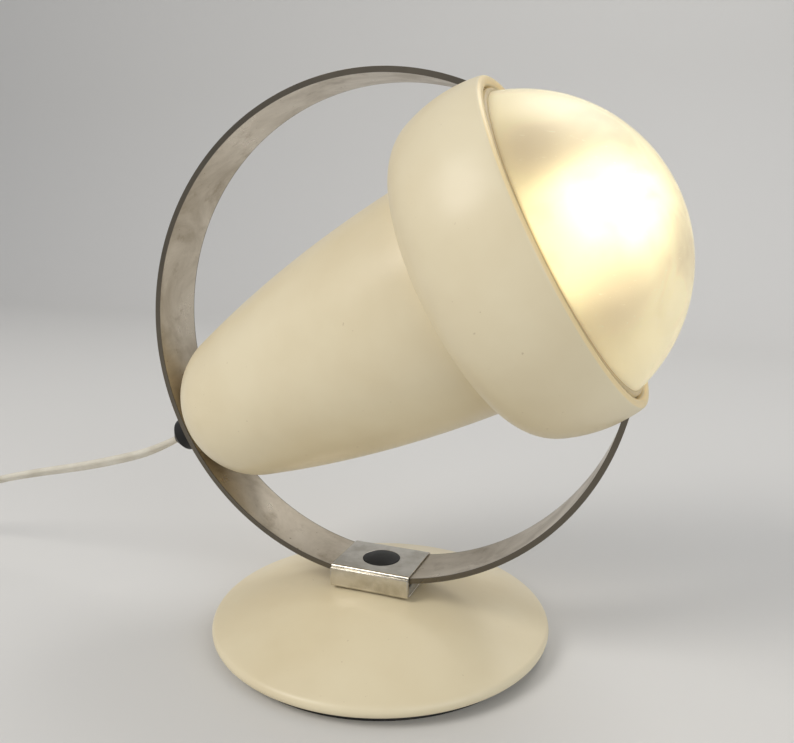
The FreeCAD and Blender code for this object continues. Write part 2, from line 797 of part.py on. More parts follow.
def makeRingStrip():
    body = newBody("ring_strip")
    outer = polar("ringRadius", "ringEndAngle")
    inner = polar("ringBore", "ringEndAngle")

    def profile(sketch):
        outline(
            sketch,
            [
                (outer[0], outer[1], "ringRadius", -1),
                ("0", "-ringRadius", "ringRadius", -1),
                ("-(" + outer[0] + ")", outer[1]),
                ("-(" + inner[0] + ")", inner[1], "ringBore", 1),
                ("0", "-ringBore", "ringBore", 1),
                (inner[0], inner[1]),
            ],
        )

    extrude(body, "XZ_Plane", profile, "stripWidth")
    cut(body, "XY_Plane", lambda s: circle(s, "0", "0", "stemRadius + fitGap"), "StemHole")

    for side in ("", "-"):
        radialHole(
            body, side + "endScrewAngle", "0", "endScrewRadius + fitGap / 2", "EndScrewHole"
        )
    placeOnHead(body)
    return body


def makeHeadBody():
    spigot = "neckRadius - fitGap"
    shoulder = "neckStation - fitGap"
    body = newBody("head_body")
    revolve(
        body,
        [
            ("0", "noseStation"),
            ("noseRadius", "noseStation", "capRadius", 1),
            ("capRimRadius", "capRimStation", "sideRadius", 1),
            ("bodyFrontRadius", shoulder),
            (spigot, shoulder),
            (spigot, "neckStation + neckLength"),
            ("0", "neckStation + neckLength"),
        ],
    )
    doc.recompute()
    front = number("neckStation + neckLength")
    faces = [
        "Face%d" % (index + 1)
        for index, face in enumerate(body.Tip.Shape.Faces)
        if abs(face.BoundBox.ZMin - front) < same and abs(face.BoundBox.ZMax - front) < same
    ]
    hollow = body.newObject("PartDesign::Thickness", "head_body_Hollow")
    hollow.Base = (hollow.BaseFeature, faces)
    bind(hollow, "Value", "bodyWall")
    hollow.Reversed = True
    hollow.Join = 1
    doc.recompute()
    cut(
        body,
        "XY_Plane",
        lambda s: circle(s, "0", "0", "stemRadius + fitGap"),
        "StemHole",
    )
    neckHoles(body)
    placeOnHead(body)
    return body


def neckHoles(body):
    # holes for the screws that join the shade's neck to the body
    doc.recompute()
    before = body.Shape.Volume
    sketch = newSketch(body, "YZ_Plane", "NeckScrewSketch")
    circle(sketch, "0", "neckScrewStation", "neckScrewRadius + fitGap / 2")
    pocket = body.newObject("PartDesign::Pocket", body.Label + "_NeckScrews")
    pocket.Profile = (sketch, [""])
    pocket.SideType = "One side"
    pocket.Reversed = True
    bind(pocket, "Length", "neckRadius + shadeWall * 2")
    doc.recompute()
    polarCopies(body, "neckScrewCount")
    doc.recompute()
    if not body.Shape.Volume < before:
        raise RuntimeError(body.Label + " has no screw holes")


def makeShade():
    inside = "shadeWall * cos(shadeAngle * 1deg)"
    forward = "shadeWall * sin(shadeAngle * 1deg)"
    back = "crownMiddle + sqrt((shadeCrown - shadeWall)^2 - (lipBack - crownStation)^2)"
    body = newBody("shade")
    revolve(
        body,
        [
            ("neckRadius", "neckStation + neckLength"),
            ("neckRadius", "neckStation", "shadeBulge", 1),
            ("shoulderRadius", "shoulderStation", "shadeCrown", 1),
            ("shoulderRadius", "rimStation", "lipRadius", 1),
            ("lipInside", "lipStation"),
            ("lipInside", "lipBack"),
            (back, "lipBack", "shadeCrown - shadeWall", -1),
            (
                "shoulderRadius - " + inside,
                "shoulderStation + " + forward,
                "shadeBulge - shadeWall",
                -1,
            ),
            (
                "neckRadius + shadeWall",
                "neckStation + shadeBulge - sqrt((shadeBulge - shadeWall)^2 - shadeWall^2)",
            ),
            ("neckRadius + shadeWall", "neckStation + neckLength"),
        ],
    )

    outer, inner = "ringRadius + slideGap", "ringBore - slideGap"
    doc.recompute()
    before = body.Shape.Volume
    sketch = newSketch(body, "XZ_Plane", "SlotSketch")
    for side in ("", "-"):
        corners = []
        for radius, angle in (
            (outer, "slotStart"),
            (outer, "slotEnd"),
            (inner, "slotEnd"),
            (inner, "slotStart"),
        ):
            across, along = polar(radius, angle)
            corners.append((side + "(" + across + ")", along))
        turn = -1 if side == "" else 1
        corners[0] += (outer, turn)
        corners[2] += (inner, -turn)
        outline(sketch, corners)
    pocket = body.newObject("PartDesign::Pocket", "shade_Slot")
    pocket.Profile = (sketch, [""])
    pocket.SideType = "Symmetric"
    bind(pocket, "Length", "stripWidth + 2 * slideGap")
    doc.recompute()
    if not body.Shape.Volume < before:
        raise RuntimeError("the slots cut nothing")
    neckHoles(body)
    placeOnHead(body)
    return body


def makeDiffuser():
    inner = "domeRadius - diffuserWall"
    inside = "skirtRadius - diffuserWall"
    return turned(
        "diffuser",
        [
            ("skirtRadius", "skirtTop - skirtLength"),
            ("skirtRadius", "skirtTop", "domeRadius", 1),
            ("0", "domeStation + domeRadius"),
            ("0", "domeStation + " + inner, inner, -1),
            (inside, "domeStation + sqrt((%s)^2 - (%s)^2)" % (inner, inside)),
            (inside, "skirtTop - skirtLength"),
        ],
        head=True,
    )


def polarCopies(body, count, label="Pattern"):
    # copies of the body's last feature, evenly round its Z axis
    last = body.Tip
    copies = body.newObject("PartDesign::PolarPattern", body.Label + "_" + label)
    copies.Originals = [last]
    for feature in body.Origin.OriginFeatures:
        if feature.Role == "Z_Axis":
            copies.Axis = (feature, [""])
    copies.Angle = 360
    bind(copies, "Occurrences", count)
    body.Tip = copies
    return copies


def makeDiffuserClips():
    body = newBody("diffuser_clips")
    near = "skirtRadius + fitGap"
    far = "skirtRadius + fitGap + clipThickness"
    revolve(
        body,
        [
            (near, "lipBack"),
            (near, "lipBack - clipLength"),
            (far, "lipBack - clipLength"),
            (far, "lipBack - clipThickness"),
            ("%s + clipLeg" % far, "lipBack - clipThickness"),
            ("%s + clipLeg" % far, "lipBack"),
        ],
        angle="clipAngle",
    )
    polarCopies(body, "clipCount")
    placeOnHead(body)
    turn = FreeCAD.Rotation(FreeCAD.Vector(0, 0, 1), 90 + number("clipAngle") / 2)
    body.Placement = body.Placement.multiply(FreeCAD.Placement(FreeCAD.Vector(), turn))
    body.setExpression("Placement.Rotation.Angle", None)
    return body


def makeEndBlock():
    body = newBody("end_block")
    top = "crownMiddle + shadeCrown - shadeWall - blockInset"
    seat = "ringBore - fitGap"
    tip = polar(seat, "blockTipAngle")
    deep = "(%s) - blockDepth" % top

    def profile(sketch):
        outline(
            sketch,
            [
                (top, "blockBack"),
                (top, "sqrt((%s)^2 - (%s)^2)" % (seat, top), seat, 1),
                (tip[0], tip[1]),
                (deep, "%s - blockDepth" % tip[1]),
                (deep + " + blockDepth / 3", "blockBack"),
            ],
        )

    extrude(body, "XZ_Plane", profile, "blockWidth")
    return body


def makeStem():
    top = "holderBack + holderWall + stemNutHeight + fitGap"
    corners = [
        ("stemBore", "-stemEnd"),
        ("stemRadius", "-stemEnd"),
        ("stemRadius", top),
        ("stemBore", top),
    ]
    return turned("threaded_stem", corners, head=True)


def makeGland():
    bore = "cordRadius + fitGap"
    step = "-stemEnd - fitGap"
    return turned(
        "cable_gland",
        [
            ("stemRadius + fitGap / 2", "-ringRadius - fitGap / 2"),
            ("stemRadius + fitGap / 2", step),
            (bore, step),
            (bore, "-glandEnd"),
            ("glandNose - glandEdge", "-glandEnd"),
            ("glandNose", "-glandEnd + glandEdge"),
            ("glandWaist", "-ringRadius - glandTaper"),
            ("glandRadius", "-ringRadius - glandFlange"),
            ("glandRadius", "-ringRadius - fitGap / 2"),
        ],
        head=True,
    )


def makeNoseWasher():
    low, high = "-ringBore + slideGap + fitGap", "noseStation"
    bore = "stemRadius + fitGap"
    corners = [(bore, low), ("noseRadius", low), ("noseRadius", high), (bore, high)]
    return turned("nose_washer", corners, head=True)


def makeInnerFlex():
    low, high = "-glandEnd", "holderBack + holderWall + stemNutHeight + flexEnd"
    corners = [("0", low), ("cordRadius", low), ("cordRadius", high), ("0", high)]
    return turned("inner_flex", corners, head=True)


def makeHolderCap():
    bore = "stemRadius + fitGap / 2"
    slope = "holderBack + holderSlope"
    return turned(
        "holder_cap",
        [
            (bore, "holderBack"),
            ("holderRadius - holderSlope", "holderBack"),
            ("holderRadius", slope),
            ("holderRadius", "holderSplit - fitGap / 2"),
            ("holderInside", "holderSplit - fitGap / 2"),
            ("holderInside", slope + " + holderWall / 2"),
            ("holderRadius - holderSlope - holderWall / 2", "holderBack + holderWall"),
            (bore, "holderBack + holderWall"),
        ],
        head=True,
    )


def makeHolderSkirt():
    return turned(
        "holder_skirt",
        [
            ("holderInside", "holderSplit + fitGap / 2"),
            ("holderRadius", "holderSplit + fitGap / 2"),
            ("holderRadius", "holderFront - holderEdge"),
            ("holderRadius - holderEdge", "holderFront"),
            ("holderMouth", "holderFront"),
            ("holderMouth", "holderFront - holderWall"),
            ("holderInside", "holderFront - holderWall"),
        ],
        head=True,
    )


def makeHolderInsert():
    rim = "holderInside - fitGap"
    corners = [("0", "holderSplit"), (rim, "holderSplit"), (rim, "insertTop"), ("0", "insertTop")]
    return turned("holder_insert", corners, head=True)


def makeScrewShell():
    inside = "screwShellRadius - screwShellWall"
    foot = "screwShellRadius + screwShellFoot"
    return turned(
        "screw_shell",
        [
            (inside, "insertTop"),
            (foot, "insertTop"),
            (foot, "insertTop + screwShellFootHeight"),
            ("screwShellRadius", "insertTop + screwShellFootHeight"),
            ("screwShellRadius", "holderFront - screwShellInset"),
            (inside, "holderFront - screwShellInset"),
        ],
        head=True,
    )


def makeCentreContact():
    return turned(
        "centre_contact",
        [
            ("0", "insertTop"),
            ("contactRadius", "insertTop"),
            ("contactRadius", "insertTop + contactSide"),
            ("contactTip", "contactTop"),
            ("0", "contactTop"),
        ],
        head=True,
    )


def makeBulbCap():
    inside = "bulbCapRadius - bulbCapWall"
    hole = "bulbTipRadius + fitGap"
    foot = "bulbBottom + bulbTipBevel"
    slope = "bulbBottom + bulbCapSlope"
    return turned(
        "bulb_cap",
        [
            (hole, foot),
            ("bulbCapRadius", slope),
            ("bulbCapRadius", "bulbCapTop"),
            (inside, "bulbCapTop"),
            (inside, slope + " + bulbCapWall"),
            (hole, foot + " + 2 * bulbCapWall"),
        ],
        head=True,
    )


def makeBulbTip():
    top = "bulbBottom + bulbTipHeight"
    return turned(
        "bulb_tip",
        [
            ("0", "bulbBottom"),
            ("bulbTipRadius - bulbTipBevel", "bulbBottom"),
            ("bulbTipRadius", "bulbBottom + bulbTipBevel"),
            ("bulbTipRadius", top),
            ("0", top),
        ],
        head=True,
    )


def makeBulbGlass():
    neck = "bulbCapRadius - bulbCapWall - fitGap"
    inner = "bulbRadius - bulbWall"
    start, shoulder = "bulbCapTop - bulbNeckDepth", "bulbCapTop + bulbNeckRise"
    cheek = polar("bulbRadius", "bulbNeckAngle")
    innerCheek = polar(inner, "bulbNeckAngle")
    return turned(
        "bulb_glass",
        [
            (neck, start),
            (neck, shoulder),
            (cheek[0], "bulbStation + " + cheek[1], "bulbRadius", 1),
            ("0", "bulbStation + bulbRadius"),
            ("0", "bulbStation + " + inner, inner, -1),
            (innerCheek[0], "bulbStation + " + innerCheek[1]),
            (neck + " - bulbWall", shoulder + " + bulbWall / 3"),
            (neck + " - bulbWall", start),
        ],
        head=True,
    )


# Cord switch, coil and plug


def makeSwitchShells():
    half, side = "switchLength / 2", "switchWidth / 2"

    def block(sketch):
        rectangle(sketch, "-(" + side + ")", "-(" + half + ")", side, half)

    def inner(sketch):
        rectangle(
            sketch,
            "-(" + side + ") + switchWall",
            "-(" + half + ") + switchWall",
            side + " - switchWall",
            half + " - switchWall",
        )

    def corners(middle, along):
        return abs(along.z) > same and abs(along.x) < same and abs(along.y) < same

    def cordHole(sketch):
        circle(sketch, "0", "switchSplit", "cordRadius + fitGap")

    def screwHoles(sketch):
        for sign in ("", "-"):
            circle(sketch, "0", sign + "switchScrewOffset", "switchScrewRadius + fitGap / 2")

    lower = newBody("switch_base")
    extrude(lower, "XY_Plane", block, "switchSplit - fitGap / 2", symmetric=False)
    roundEdges(lower, corners, "switchCorner")
    cut(lower, "XY_Plane", inner, "Hollow", "switchSplit", True, "switchWall")
    cut(lower, "XZ_Plane", cordHole, "CordHoles")

    upper = newBody("switch_cover")
    foot = "switchSplit + fitGap / 2"
    pad = extrude(upper, "XY_Plane", block, "switchHeight - (%s)" % foot, symmetric=False)
    pad.Profile[0].AttachmentOffset.Base = FreeCAD.Vector(0, 0, number(foot))
    bind(pad.Profile[0], "AttachmentOffset.Base.z", foot)
    roundEdges(upper, corners, "switchCorner")
    cut(upper, "XY_Plane", inner, "Hollow", "switchHeight - switchWall", True)

    def window(sketch):
        rectangle(sketch, "-windowSide", "-windowHalf", "windowSide", "windowHalf")

    cut(upper, "XY_Plane", window, "Window")

    def cheek(sketch):
        inside = "windowSide"
        outside = "windowSide + cheekThickness"
        top = "switchHeight - switchWall"
        for sign in ("", "-"):
            rectangle(
                sketch,
                "%s(%s)" % (sign, inside if sign == "" else outside),
                top + " - cheekDrop",
                "%s(%s)" % (sign, outside if sign == "" else inside),
                top,
            )

    extrude(upper, "XZ_Plane", cheek, "cheekWidth", "Cheeks")
    doc.recompute()

    sketch = newSketch(upper, "YZ_Plane", "PinSketch")
    circle(sketch, "0", "rockerPivot", "rockerPinRadius + fitGap / 4")
    pocket = upper.newObject("PartDesign::Pocket", "switch_cover_PinHole")
    pocket.Profile = (sketch, [""])
    pocket.SideType = "Symmetric"
    bind(pocket, "Length", "2 * (windowSide + cheekThickness)")
    cut(upper, "XZ_Plane", cordHole, "CordHoles")
    for body in (lower, upper):
        placeAt(body, "switchAcross", "switchAlong", "0")
    return lower, upper


def placeAt(body, across, along, height):
    body.Placement.Base = FreeCAD.Vector(number(across), number(along), number(height))
    bind(body, "Placement.Base.x", across)
    bind(body, "Placement.Base.y", along)
    bind(body, "Placement.Base.z", height)


def makeSwitchRocker():
    # drawn level round its pivot, then tipped to where it rests
    body = newBody("switch_rocker")
    reach = "sqrt(rockerRadius^2 - rockerTop^2)"
    low = "sqrt(rockerRadius^2 - rockerDepth^2)"

    def profile(sketch):
        outline(
            sketch,
            [
                (low, "-rockerDepth", "rockerRadius", 1),
                (reach, "rockerTop"),
                ("0", "rockerValley"),
                ("-" + reach, "rockerTop", "rockerRadius", 1),
                ("-" + low, "-rockerDepth"),
            ],
        )

    extrude(body, "YZ_Plane", profile, "rockerWidth")
    cut(body, "YZ_Plane", lambda s: circle(s, "0", "0", "rockerPinRadius + fitGap / 2"), "PinHole")
    placeAt(body, "switchAcross", "switchAlong", "rockerPivot")
    body.Placement.Rotation = FreeCAD.Rotation(FreeCAD.Vector(1, 0, 0), number("rockerTilt"))
    bind(body, "Placement.Rotation.Angle", "rockerTilt")
    return body


def makeRockerPin():
    body = newBody("rocker_pin")
    length = "2 * (windowSide + cheekThickness)"
    extrude(body, "YZ_Plane", lambda s: circle(s, "0", "0", "rockerPinRadius"), length)
    placeAt(body, "switchAcross", "switchAlong", "rockerPivot")
    return body


def makeCordCoil():
    inner, outer = "coilRadius - coilWidth / 2", "coilRadius + coilWidth / 2"
    top, turn = "coilHeight", "coilRound"
    body = turned(
        "cord_coil",
        [
            (inner + " + " + turn, "0"),
            (outer + " - " + turn, "0", turn, 1),
            (outer, turn),
            (outer, top + " - " + turn, turn, 1),
            (outer + " - " + turn, top),
            (inner + " + " + turn, top, turn, 1),
            (inner, top + " - " + turn),
            (inner, turn, turn, 1),
        ],
    )
    placeAt(body, "coilAcross", "coilAlong", "0")
    return body


def makePlugBody():
    body = newBody("plug_body")
    tail, side = "plugTailWidth / 2", "plugWidth / 2"

    def profile(sketch):
        outline(
            sketch,
            [
                ("0", "-(" + tail + ")"),
                ("plugShoulder", "-(" + side + ")"),
                ("plugLength", "-(" + side + ") + plugTaper"),
                ("plugLength", side + " - plugTaper"),
                ("plugShoulder", side),
                ("0", tail),
            ],
        )

    extrude(body, "XY_Plane", profile, "plugThickness", symmetric=False)
    placeAt(body, "plugAcross", "plugAlong", "coilHeight")
    return body


def makePlugPins():
    body = newBody("plug_pins")

    def pins(sketch):
        for sign in ("", "-"):
            circle(sketch, sign + "plugPinSpacing / 2", "plugThickness / 2", "plugPinRadius")

    extrude(body, "YZ_Plane", pins, "plugPinLength", symmetric=False)
    placeAt(body, "plugAcross + plugLength", "plugAlong", "coilHeight")
    return body


# Pieces that are placed copies of one shape


def compound(label, shapes, placement=None):
    group = doc.addObject("Part::Feature", label)
    group.Label = label
    group.Shape = Part.makeCompound(shapes)
    if placement is not None:
        group.Placement = placement
    return group


def cylinder(radius, height, base, along=FreeCAD.Vector(0, 0, 1)):
    return Part.makeCylinder(radius, height, base, along)


def endScrewTools(extra=0.0):
    # the two end screws, or with extra the holes that they need
    shapes = []
    for sign in (1, -1):
        angle = math.radians(number("endScrewAngle"))
        outwards = FreeCAD.Vector(sign * math.sin(angle), 0, math.cos(angle))
        seat = outwards * number("ringRadius")
        depth = number("endScrewLength") + extra
        radius = number("endScrewRadius") + extra
        shank = cylinder(radius, depth + extra, seat + outwards * extra, -outwards)
        if extra:
            shapes.append(shank)
            continue
        head = cylinder(number("endScrewHead"), number("endScrewHeadHeight"), seat, outwards)
        shapes.append(shank.fuse(head).removeSplitter())
    return shapes


def makeNeckScrews():
    # from inside the shade, through its neck and the body's spigot
    seat = number("neckRadius + shadeWall")
    shapes = []
    for index in range(int(number("neckScrewCount"))):
        angle = 2 * math.pi * index / number("neckScrewCount")
        outwards = FreeCAD.Vector(math.cos(angle), math.sin(angle), 0)
        base = outwards * seat + FreeCAD.Vector(0, 0, number("neckScrewStation"))
        head = cylinder(number("neckScrewHead"), number("neckScrewHeadHeight"), base, outwards)
        shank = cylinder(number("neckScrewRadius"), number("neckScrewLength"), base, -outwards)
        shapes.append(head.fuse(shank).removeSplitter())
    compound("neck_screws", shapes, headPlacement())


def makeEndPieces(block):
    # blocks and screws at both ends of the ring
    holes = endScrewTools(number("fitGap") / 2)
    right = block.Shape.cut(Part.makeCompound(holes))
    left = right.mirror(FreeCAD.Vector(), FreeCAD.Vector(1, 0, 0))
    compound("ring_end_blocks", [right, left], headPlacement())
    compound("ring_end_screws", endScrewTools(), headPlacement())


def makeStemNuts():
    nose = number("noseStation + bodyWall")
    back = number("holderBack")
    height = number("stemNutHeight")
    single = makeNut("stem_nut", "stemNutAcross", "stemRadius + fitGap / 2", "0", "stemNutHeight")
    doc.recompute()
    copies = []
    for station in (nose, back - height, back + number("holderWall")):
        copy = single.Shape.copy()
        copy.translate(FreeCAD.Vector(0, 0, station))
        copies.append(copy)
    doc.removeObject(single.Name)
    return compound("stem_nuts", copies, headPlacement())


def makeTerminals():
    offset = number("terminalOffset")
    top = number("holderSplit - fitGap")
    height = number("terminalHeight")
    lead = number("leadRadius")
    low = number("holderBack + holderWall + stemNutHeight + flexEnd + leadRadius")
    screws, leads = [], []
    for sign in (1, -1):
        base = FreeCAD.Vector(sign * offset, 0, top - height)
        screws.append(cylinder(number("terminalRadius"), height, base))
        start = FreeCAD.Vector(sign * number("leadSpread"), 0, low)
        end = base - FreeCAD.Vector(0, 0, number("fitGap"))
        run = end - start
        leads.append(cylinder(lead, run.Length - lead, start, run))
    compound("terminal_screws", screws, headPlacement())
    compound("lamp_leads", leads, headPlacement())


def makeSwitchScrews():
    shapes = []
    bottom = number("switchWall")
    for sign in (1, -1):
        base = FreeCAD.Vector(0, sign * number("switchScrewOffset"), bottom)
        head = cylinder(number("switchScrewHead"), number("switchScrewHeadHeight"), base)
        shank = cylinder(number("switchScrewRadius"), number("switchHeight - 2 * switchWall"), base)
        shapes.append(head.fuse(shank).removeSplitter())
    place = FreeCAD.Vector(number("switchAcross"), number("switchAlong"), 0)
    return compound("switch_screws", shapes, FreeCAD.Placement(place, FreeCAD.Rotation()))


# Cord, whose ways lie between the places that the gland, the switch and the coil give

bendShare = 0.45
hangingWay = [
    (-152.0, 0.0, 69.0),
    (-180.0, 0.0, 61.0),
    (-212.0, 0.0, 53.5),
    (-244.0, 0.0, 45.0),
    (-274.0, 1.0, 33.0),
    (-302.0, 0.0, 19.5),
    (-326.0, -3.0, 11.0),
]
tailWay = [
    (-338.0, -114.1, 5.0),
    (-324.0, -127.5, 3.4),
    (-303.0, -125.5, 2.8),
    (-286.0, -123.7, 2.8),
    (-276.0, -123.0, 2.8),
]


def routeWire(points):
    # straight runs joined by tangent arcs; the radii are as large as the runs allow
    edges, radii = [], []
    last = points[0]
    for before, corner, after in zip(points, points[1:], points[2:]):
        inward, outward = corner - before, after - corner
        turn = inward.getAngle(outward)
        reach = bendShare * min(inward.Length, outward.Length)
        radius = reach / math.tan(turn / 2)
        radii.append(radius)
        start = corner - FreeCAD.Vector(inward).normalize() * reach
        end = corner + FreeCAD.Vector(outward).normalize() * reach
        inside = (
            FreeCAD.Vector(outward).normalize() - FreeCAD.Vector(inward).normalize()
        ).normalize()
        middle = corner + inside * (radius / math.cos(turn / 2) - radius)
        edges.append(Part.makeLine(last, start))
        edges.append(Part.Arc(start, middle, end).toShape())
        last = end
    edges.append(Part.makeLine(last, points[-1]))
    return Part.Wire(edges), radii


def makeTube(label, points):
    wire, radii = routeWire(points)
    radius = number("cordRadius")
    start = points[1] - points[0]
    profile = Part.Wire([Part.makeCircle(radius, points[0], start)])
    tube = wire.makePipeShell([profile], True, False)
    if tube.Volume < 0:
        tube.reverse()
    length = wire.Length
    share = tube.Volume / (math.pi * radius * radius * length)
    print(label, "length %.1f mm, volume %.4f of section times length" % (length, share))
    print(label, "radii", " ".join("%.0f" % value for value in radii))
    group = doc.addObject("Part::Feature", label)
    group.Label = label
    group.Shape = tube
    return group


def makeCords():
    # out of the gland, down to the table, through the switch and on to the coil
    angle = math.radians(number("headAngle"))
    out = FreeCAD.Vector(-math.cos(angle), 0, -math.sin(angle))
    leaving = FreeCAD.Vector(0, 0, number("ringHeight")) + out * number("glandEnd + fitGap")
    across, along = number("switchAcross"), number("switchAlong")
    height = number("switchSplit")
    half = number("switchLength") / 2 + number("fitGap")
    hanging = [leaving, leaving + out * number("cordLead")]
    hanging += [FreeCAD.Vector(*place) for place in hangingWay]
    hanging.append(FreeCAD.Vector(across, number("cordApproach"), height))
    hanging.append(FreeCAD.Vector(across, along + half, height))
    makeTube("cord_tube", hanging)
    tail = [FreeCAD.Vector(across, along - half, height)]
    tail += [FreeCAD.Vector(*place) for place in tailWay]
    makeTube("cord_tail", tail)


def build():
    makeBaseShell()
    makeBaseWeight()
    makeBasePad()
    makeBaseCover()
    makeBracketBolt()
    makeBoltWasher()
    makeNut(
        "bolt_nut",
        "nutAcross",
        "boltRadius + fitGap / 2",
        "recessTop - washerThickness - nutHeight",
        "nutHeight",
    )
    makeLocatingPin()
    makeBracketChannel()
    makeBracketPlate()
    makeBrakeShoe()
    makeBrakeSpring()
    makeReleaseButton()
    makeRingStrip()
    makeHeadBody()
    makeShade()
    makeDiffuser()
    makeDiffuserClips()
    makeStem()
    makeGland()
    makeNoseWasher()
    makeInnerFlex()
    makeHolderCap()
    makeHolderSkirt()
    makeHolderInsert()
    makeScrewShell()
    makeCentreContact()
    makeBulbCap()
    makeBulbTip()
    makeBulbGlass()
    makeSwitchShells()
    makeSwitchRocker()
    makeRockerPin()
    makeCordCoil()
    makePlugBody()
    makePlugPins()
    block = makeEndBlock()
    doc.recompute()
    makeEndPieces(block)
    doc.removeObject(block.Name)
    makeNeckScrews()
    makeStemNuts()
    makeTerminals()
    makeSwitchScrews()
    makeCords()
    doc.recompute()


def parts():
    return [
        thing
        for thing in doc.Objects
        if thing.TypeId in ("PartDesign::Body", "Part::Feature")
    ]


def check():
    for thing in doc.Objects:
        if "Invalid" in thing.State or "Error" in thing.State:
            raise RuntimeError(thing.Name + " failed: " + str(thing.State))
    for part in parts():
        if part.Shape.isNull() or not part.Shape.isValid():
            raise RuntimeError(part.Label + " has no valid shape")
        if not part.Shape.Solids:
            raise RuntimeError(part.Label + " has no solid")


def export():
    os.makedirs("parts", exist_ok=True)
    for part in parts():
        part.Shape.exportStep("parts/%s.step" % part.Label)
    print(len(parts()), "parts written")


build()
check()
export()
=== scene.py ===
import json
import math

import bpy
from mathutils import Matrix, Vector


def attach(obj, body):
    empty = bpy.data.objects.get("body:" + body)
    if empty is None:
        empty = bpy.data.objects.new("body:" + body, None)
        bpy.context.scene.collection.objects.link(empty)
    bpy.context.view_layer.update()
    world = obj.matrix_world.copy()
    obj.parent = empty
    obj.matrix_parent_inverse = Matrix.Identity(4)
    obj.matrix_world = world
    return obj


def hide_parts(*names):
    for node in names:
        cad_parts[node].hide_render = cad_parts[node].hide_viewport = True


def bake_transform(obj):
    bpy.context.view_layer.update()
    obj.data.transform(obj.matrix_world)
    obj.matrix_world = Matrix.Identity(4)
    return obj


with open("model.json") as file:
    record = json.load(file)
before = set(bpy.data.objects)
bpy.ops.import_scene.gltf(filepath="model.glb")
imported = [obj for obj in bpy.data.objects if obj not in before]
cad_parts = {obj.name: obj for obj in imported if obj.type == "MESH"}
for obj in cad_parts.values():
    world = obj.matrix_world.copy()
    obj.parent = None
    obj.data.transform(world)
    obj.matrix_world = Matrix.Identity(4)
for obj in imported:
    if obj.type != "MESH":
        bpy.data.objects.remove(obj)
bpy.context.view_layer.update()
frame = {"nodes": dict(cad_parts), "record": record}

mm = 0.001

# the ring's middle above the table, and the head's tilt above level
ringMiddle = (0.0, 0.0, 0.147)
headTilt = math.radians(28.4)
headAxis = (math.cos(headTilt), 0.0, math.sin(headTilt))

# camera and studio

photoCamera = {
    "position": (0.1354, -0.3400, 0.2033),
    "lookAt": (0.00704, 0.0, 0.1303),
    "roll": 0.613,
    "lens": 36.41,
    "sensorWidth": 36.0,
    "nearest": 0.01,
}

studio = {
    "floorColour": (0.70, 0.69, 0.67),
    "floorSize": 6.0,
    "floorRoughness": 0.75,
    "wallDistance": 0.95,
    "sweepRadius": 0.5,
    "sweepSteps": 24,
    "worldColour": (0.86, 0.88, 0.92),
    "worldStrength": 0.46,
    # place, aim, size, power, colour
    "lamps": {
        "keyLamp": ((-0.9, -1.1, 1.3), (0.0, 0.0, 0.12), 0.9, 16.0, (1.0, 0.97, 0.92)),
        "fillLamp": ((1.3, -0.8, 0.7), (0.0, 0.0, 0.12), 1.1, 6.0, (0.92, 0.96, 1.0)),
        "backLamp": ((0.3, 0.8, 1.4), (0.0, 0.0, 0.15), 0.9, 6.0, (1.0, 0.98, 0.95)),
    },
}


def aimedAt(place, target):
    turn = (Vector(target) - Vector(place)).to_track_quat("-Z", "Y").to_matrix().to_4x4()
    return Matrix.Translation(place) @ turn


def makeCamera():
    data = bpy.data.cameras.new("photoCamera")
    camera = bpy.data.objects.new("photoCamera", data)
    bpy.context.scene.collection.objects.link(camera)
    roll = Matrix.Rotation(math.radians(photoCamera["roll"]), 4, "Z")
    camera.matrix_world = aimedAt(photoCamera["position"], photoCamera["lookAt"]) @ roll
    data.sensor_fit = "HORIZONTAL"
    data.sensor_width = photoCamera["sensorWidth"]
    data.lens = photoCamera["lens"]
    data.clip_start = photoCamera["nearest"]
    bpy.context.scene.camera = camera


def deselectAll():
    if bpy.context.mode != "OBJECT":
        bpy.ops.object.mode_set(mode="OBJECT")
    bpy.ops.object.select_all(action="DESELECT")


def makeLamps():
    bpy.context.scene.view_settings.view_transform = "Standard"
    for name, (place, aim, size, power, colour) in studio["lamps"].items():
        data = bpy.data.lights.new(name, "AREA")
        data.shape = "DISK"
        data.size = size
        data.energy = power
        data.color = colour
        lamp = bpy.data.objects.new(name, data)
        bpy.context.scene.collection.objects.link(lamp)
        lamp.matrix_world = aimedAt(place, aim)
    world = bpy.data.worlds.new("studioWorld")
    bpy.context.scene.world = world
    world.use_nodes = True
    background = world.node_tree.nodes["Background"]
    background.inputs["Color"].default_value = (*studio["worldColour"], 1)
    background.inputs["Strength"].default_value = studio["worldStrength"]


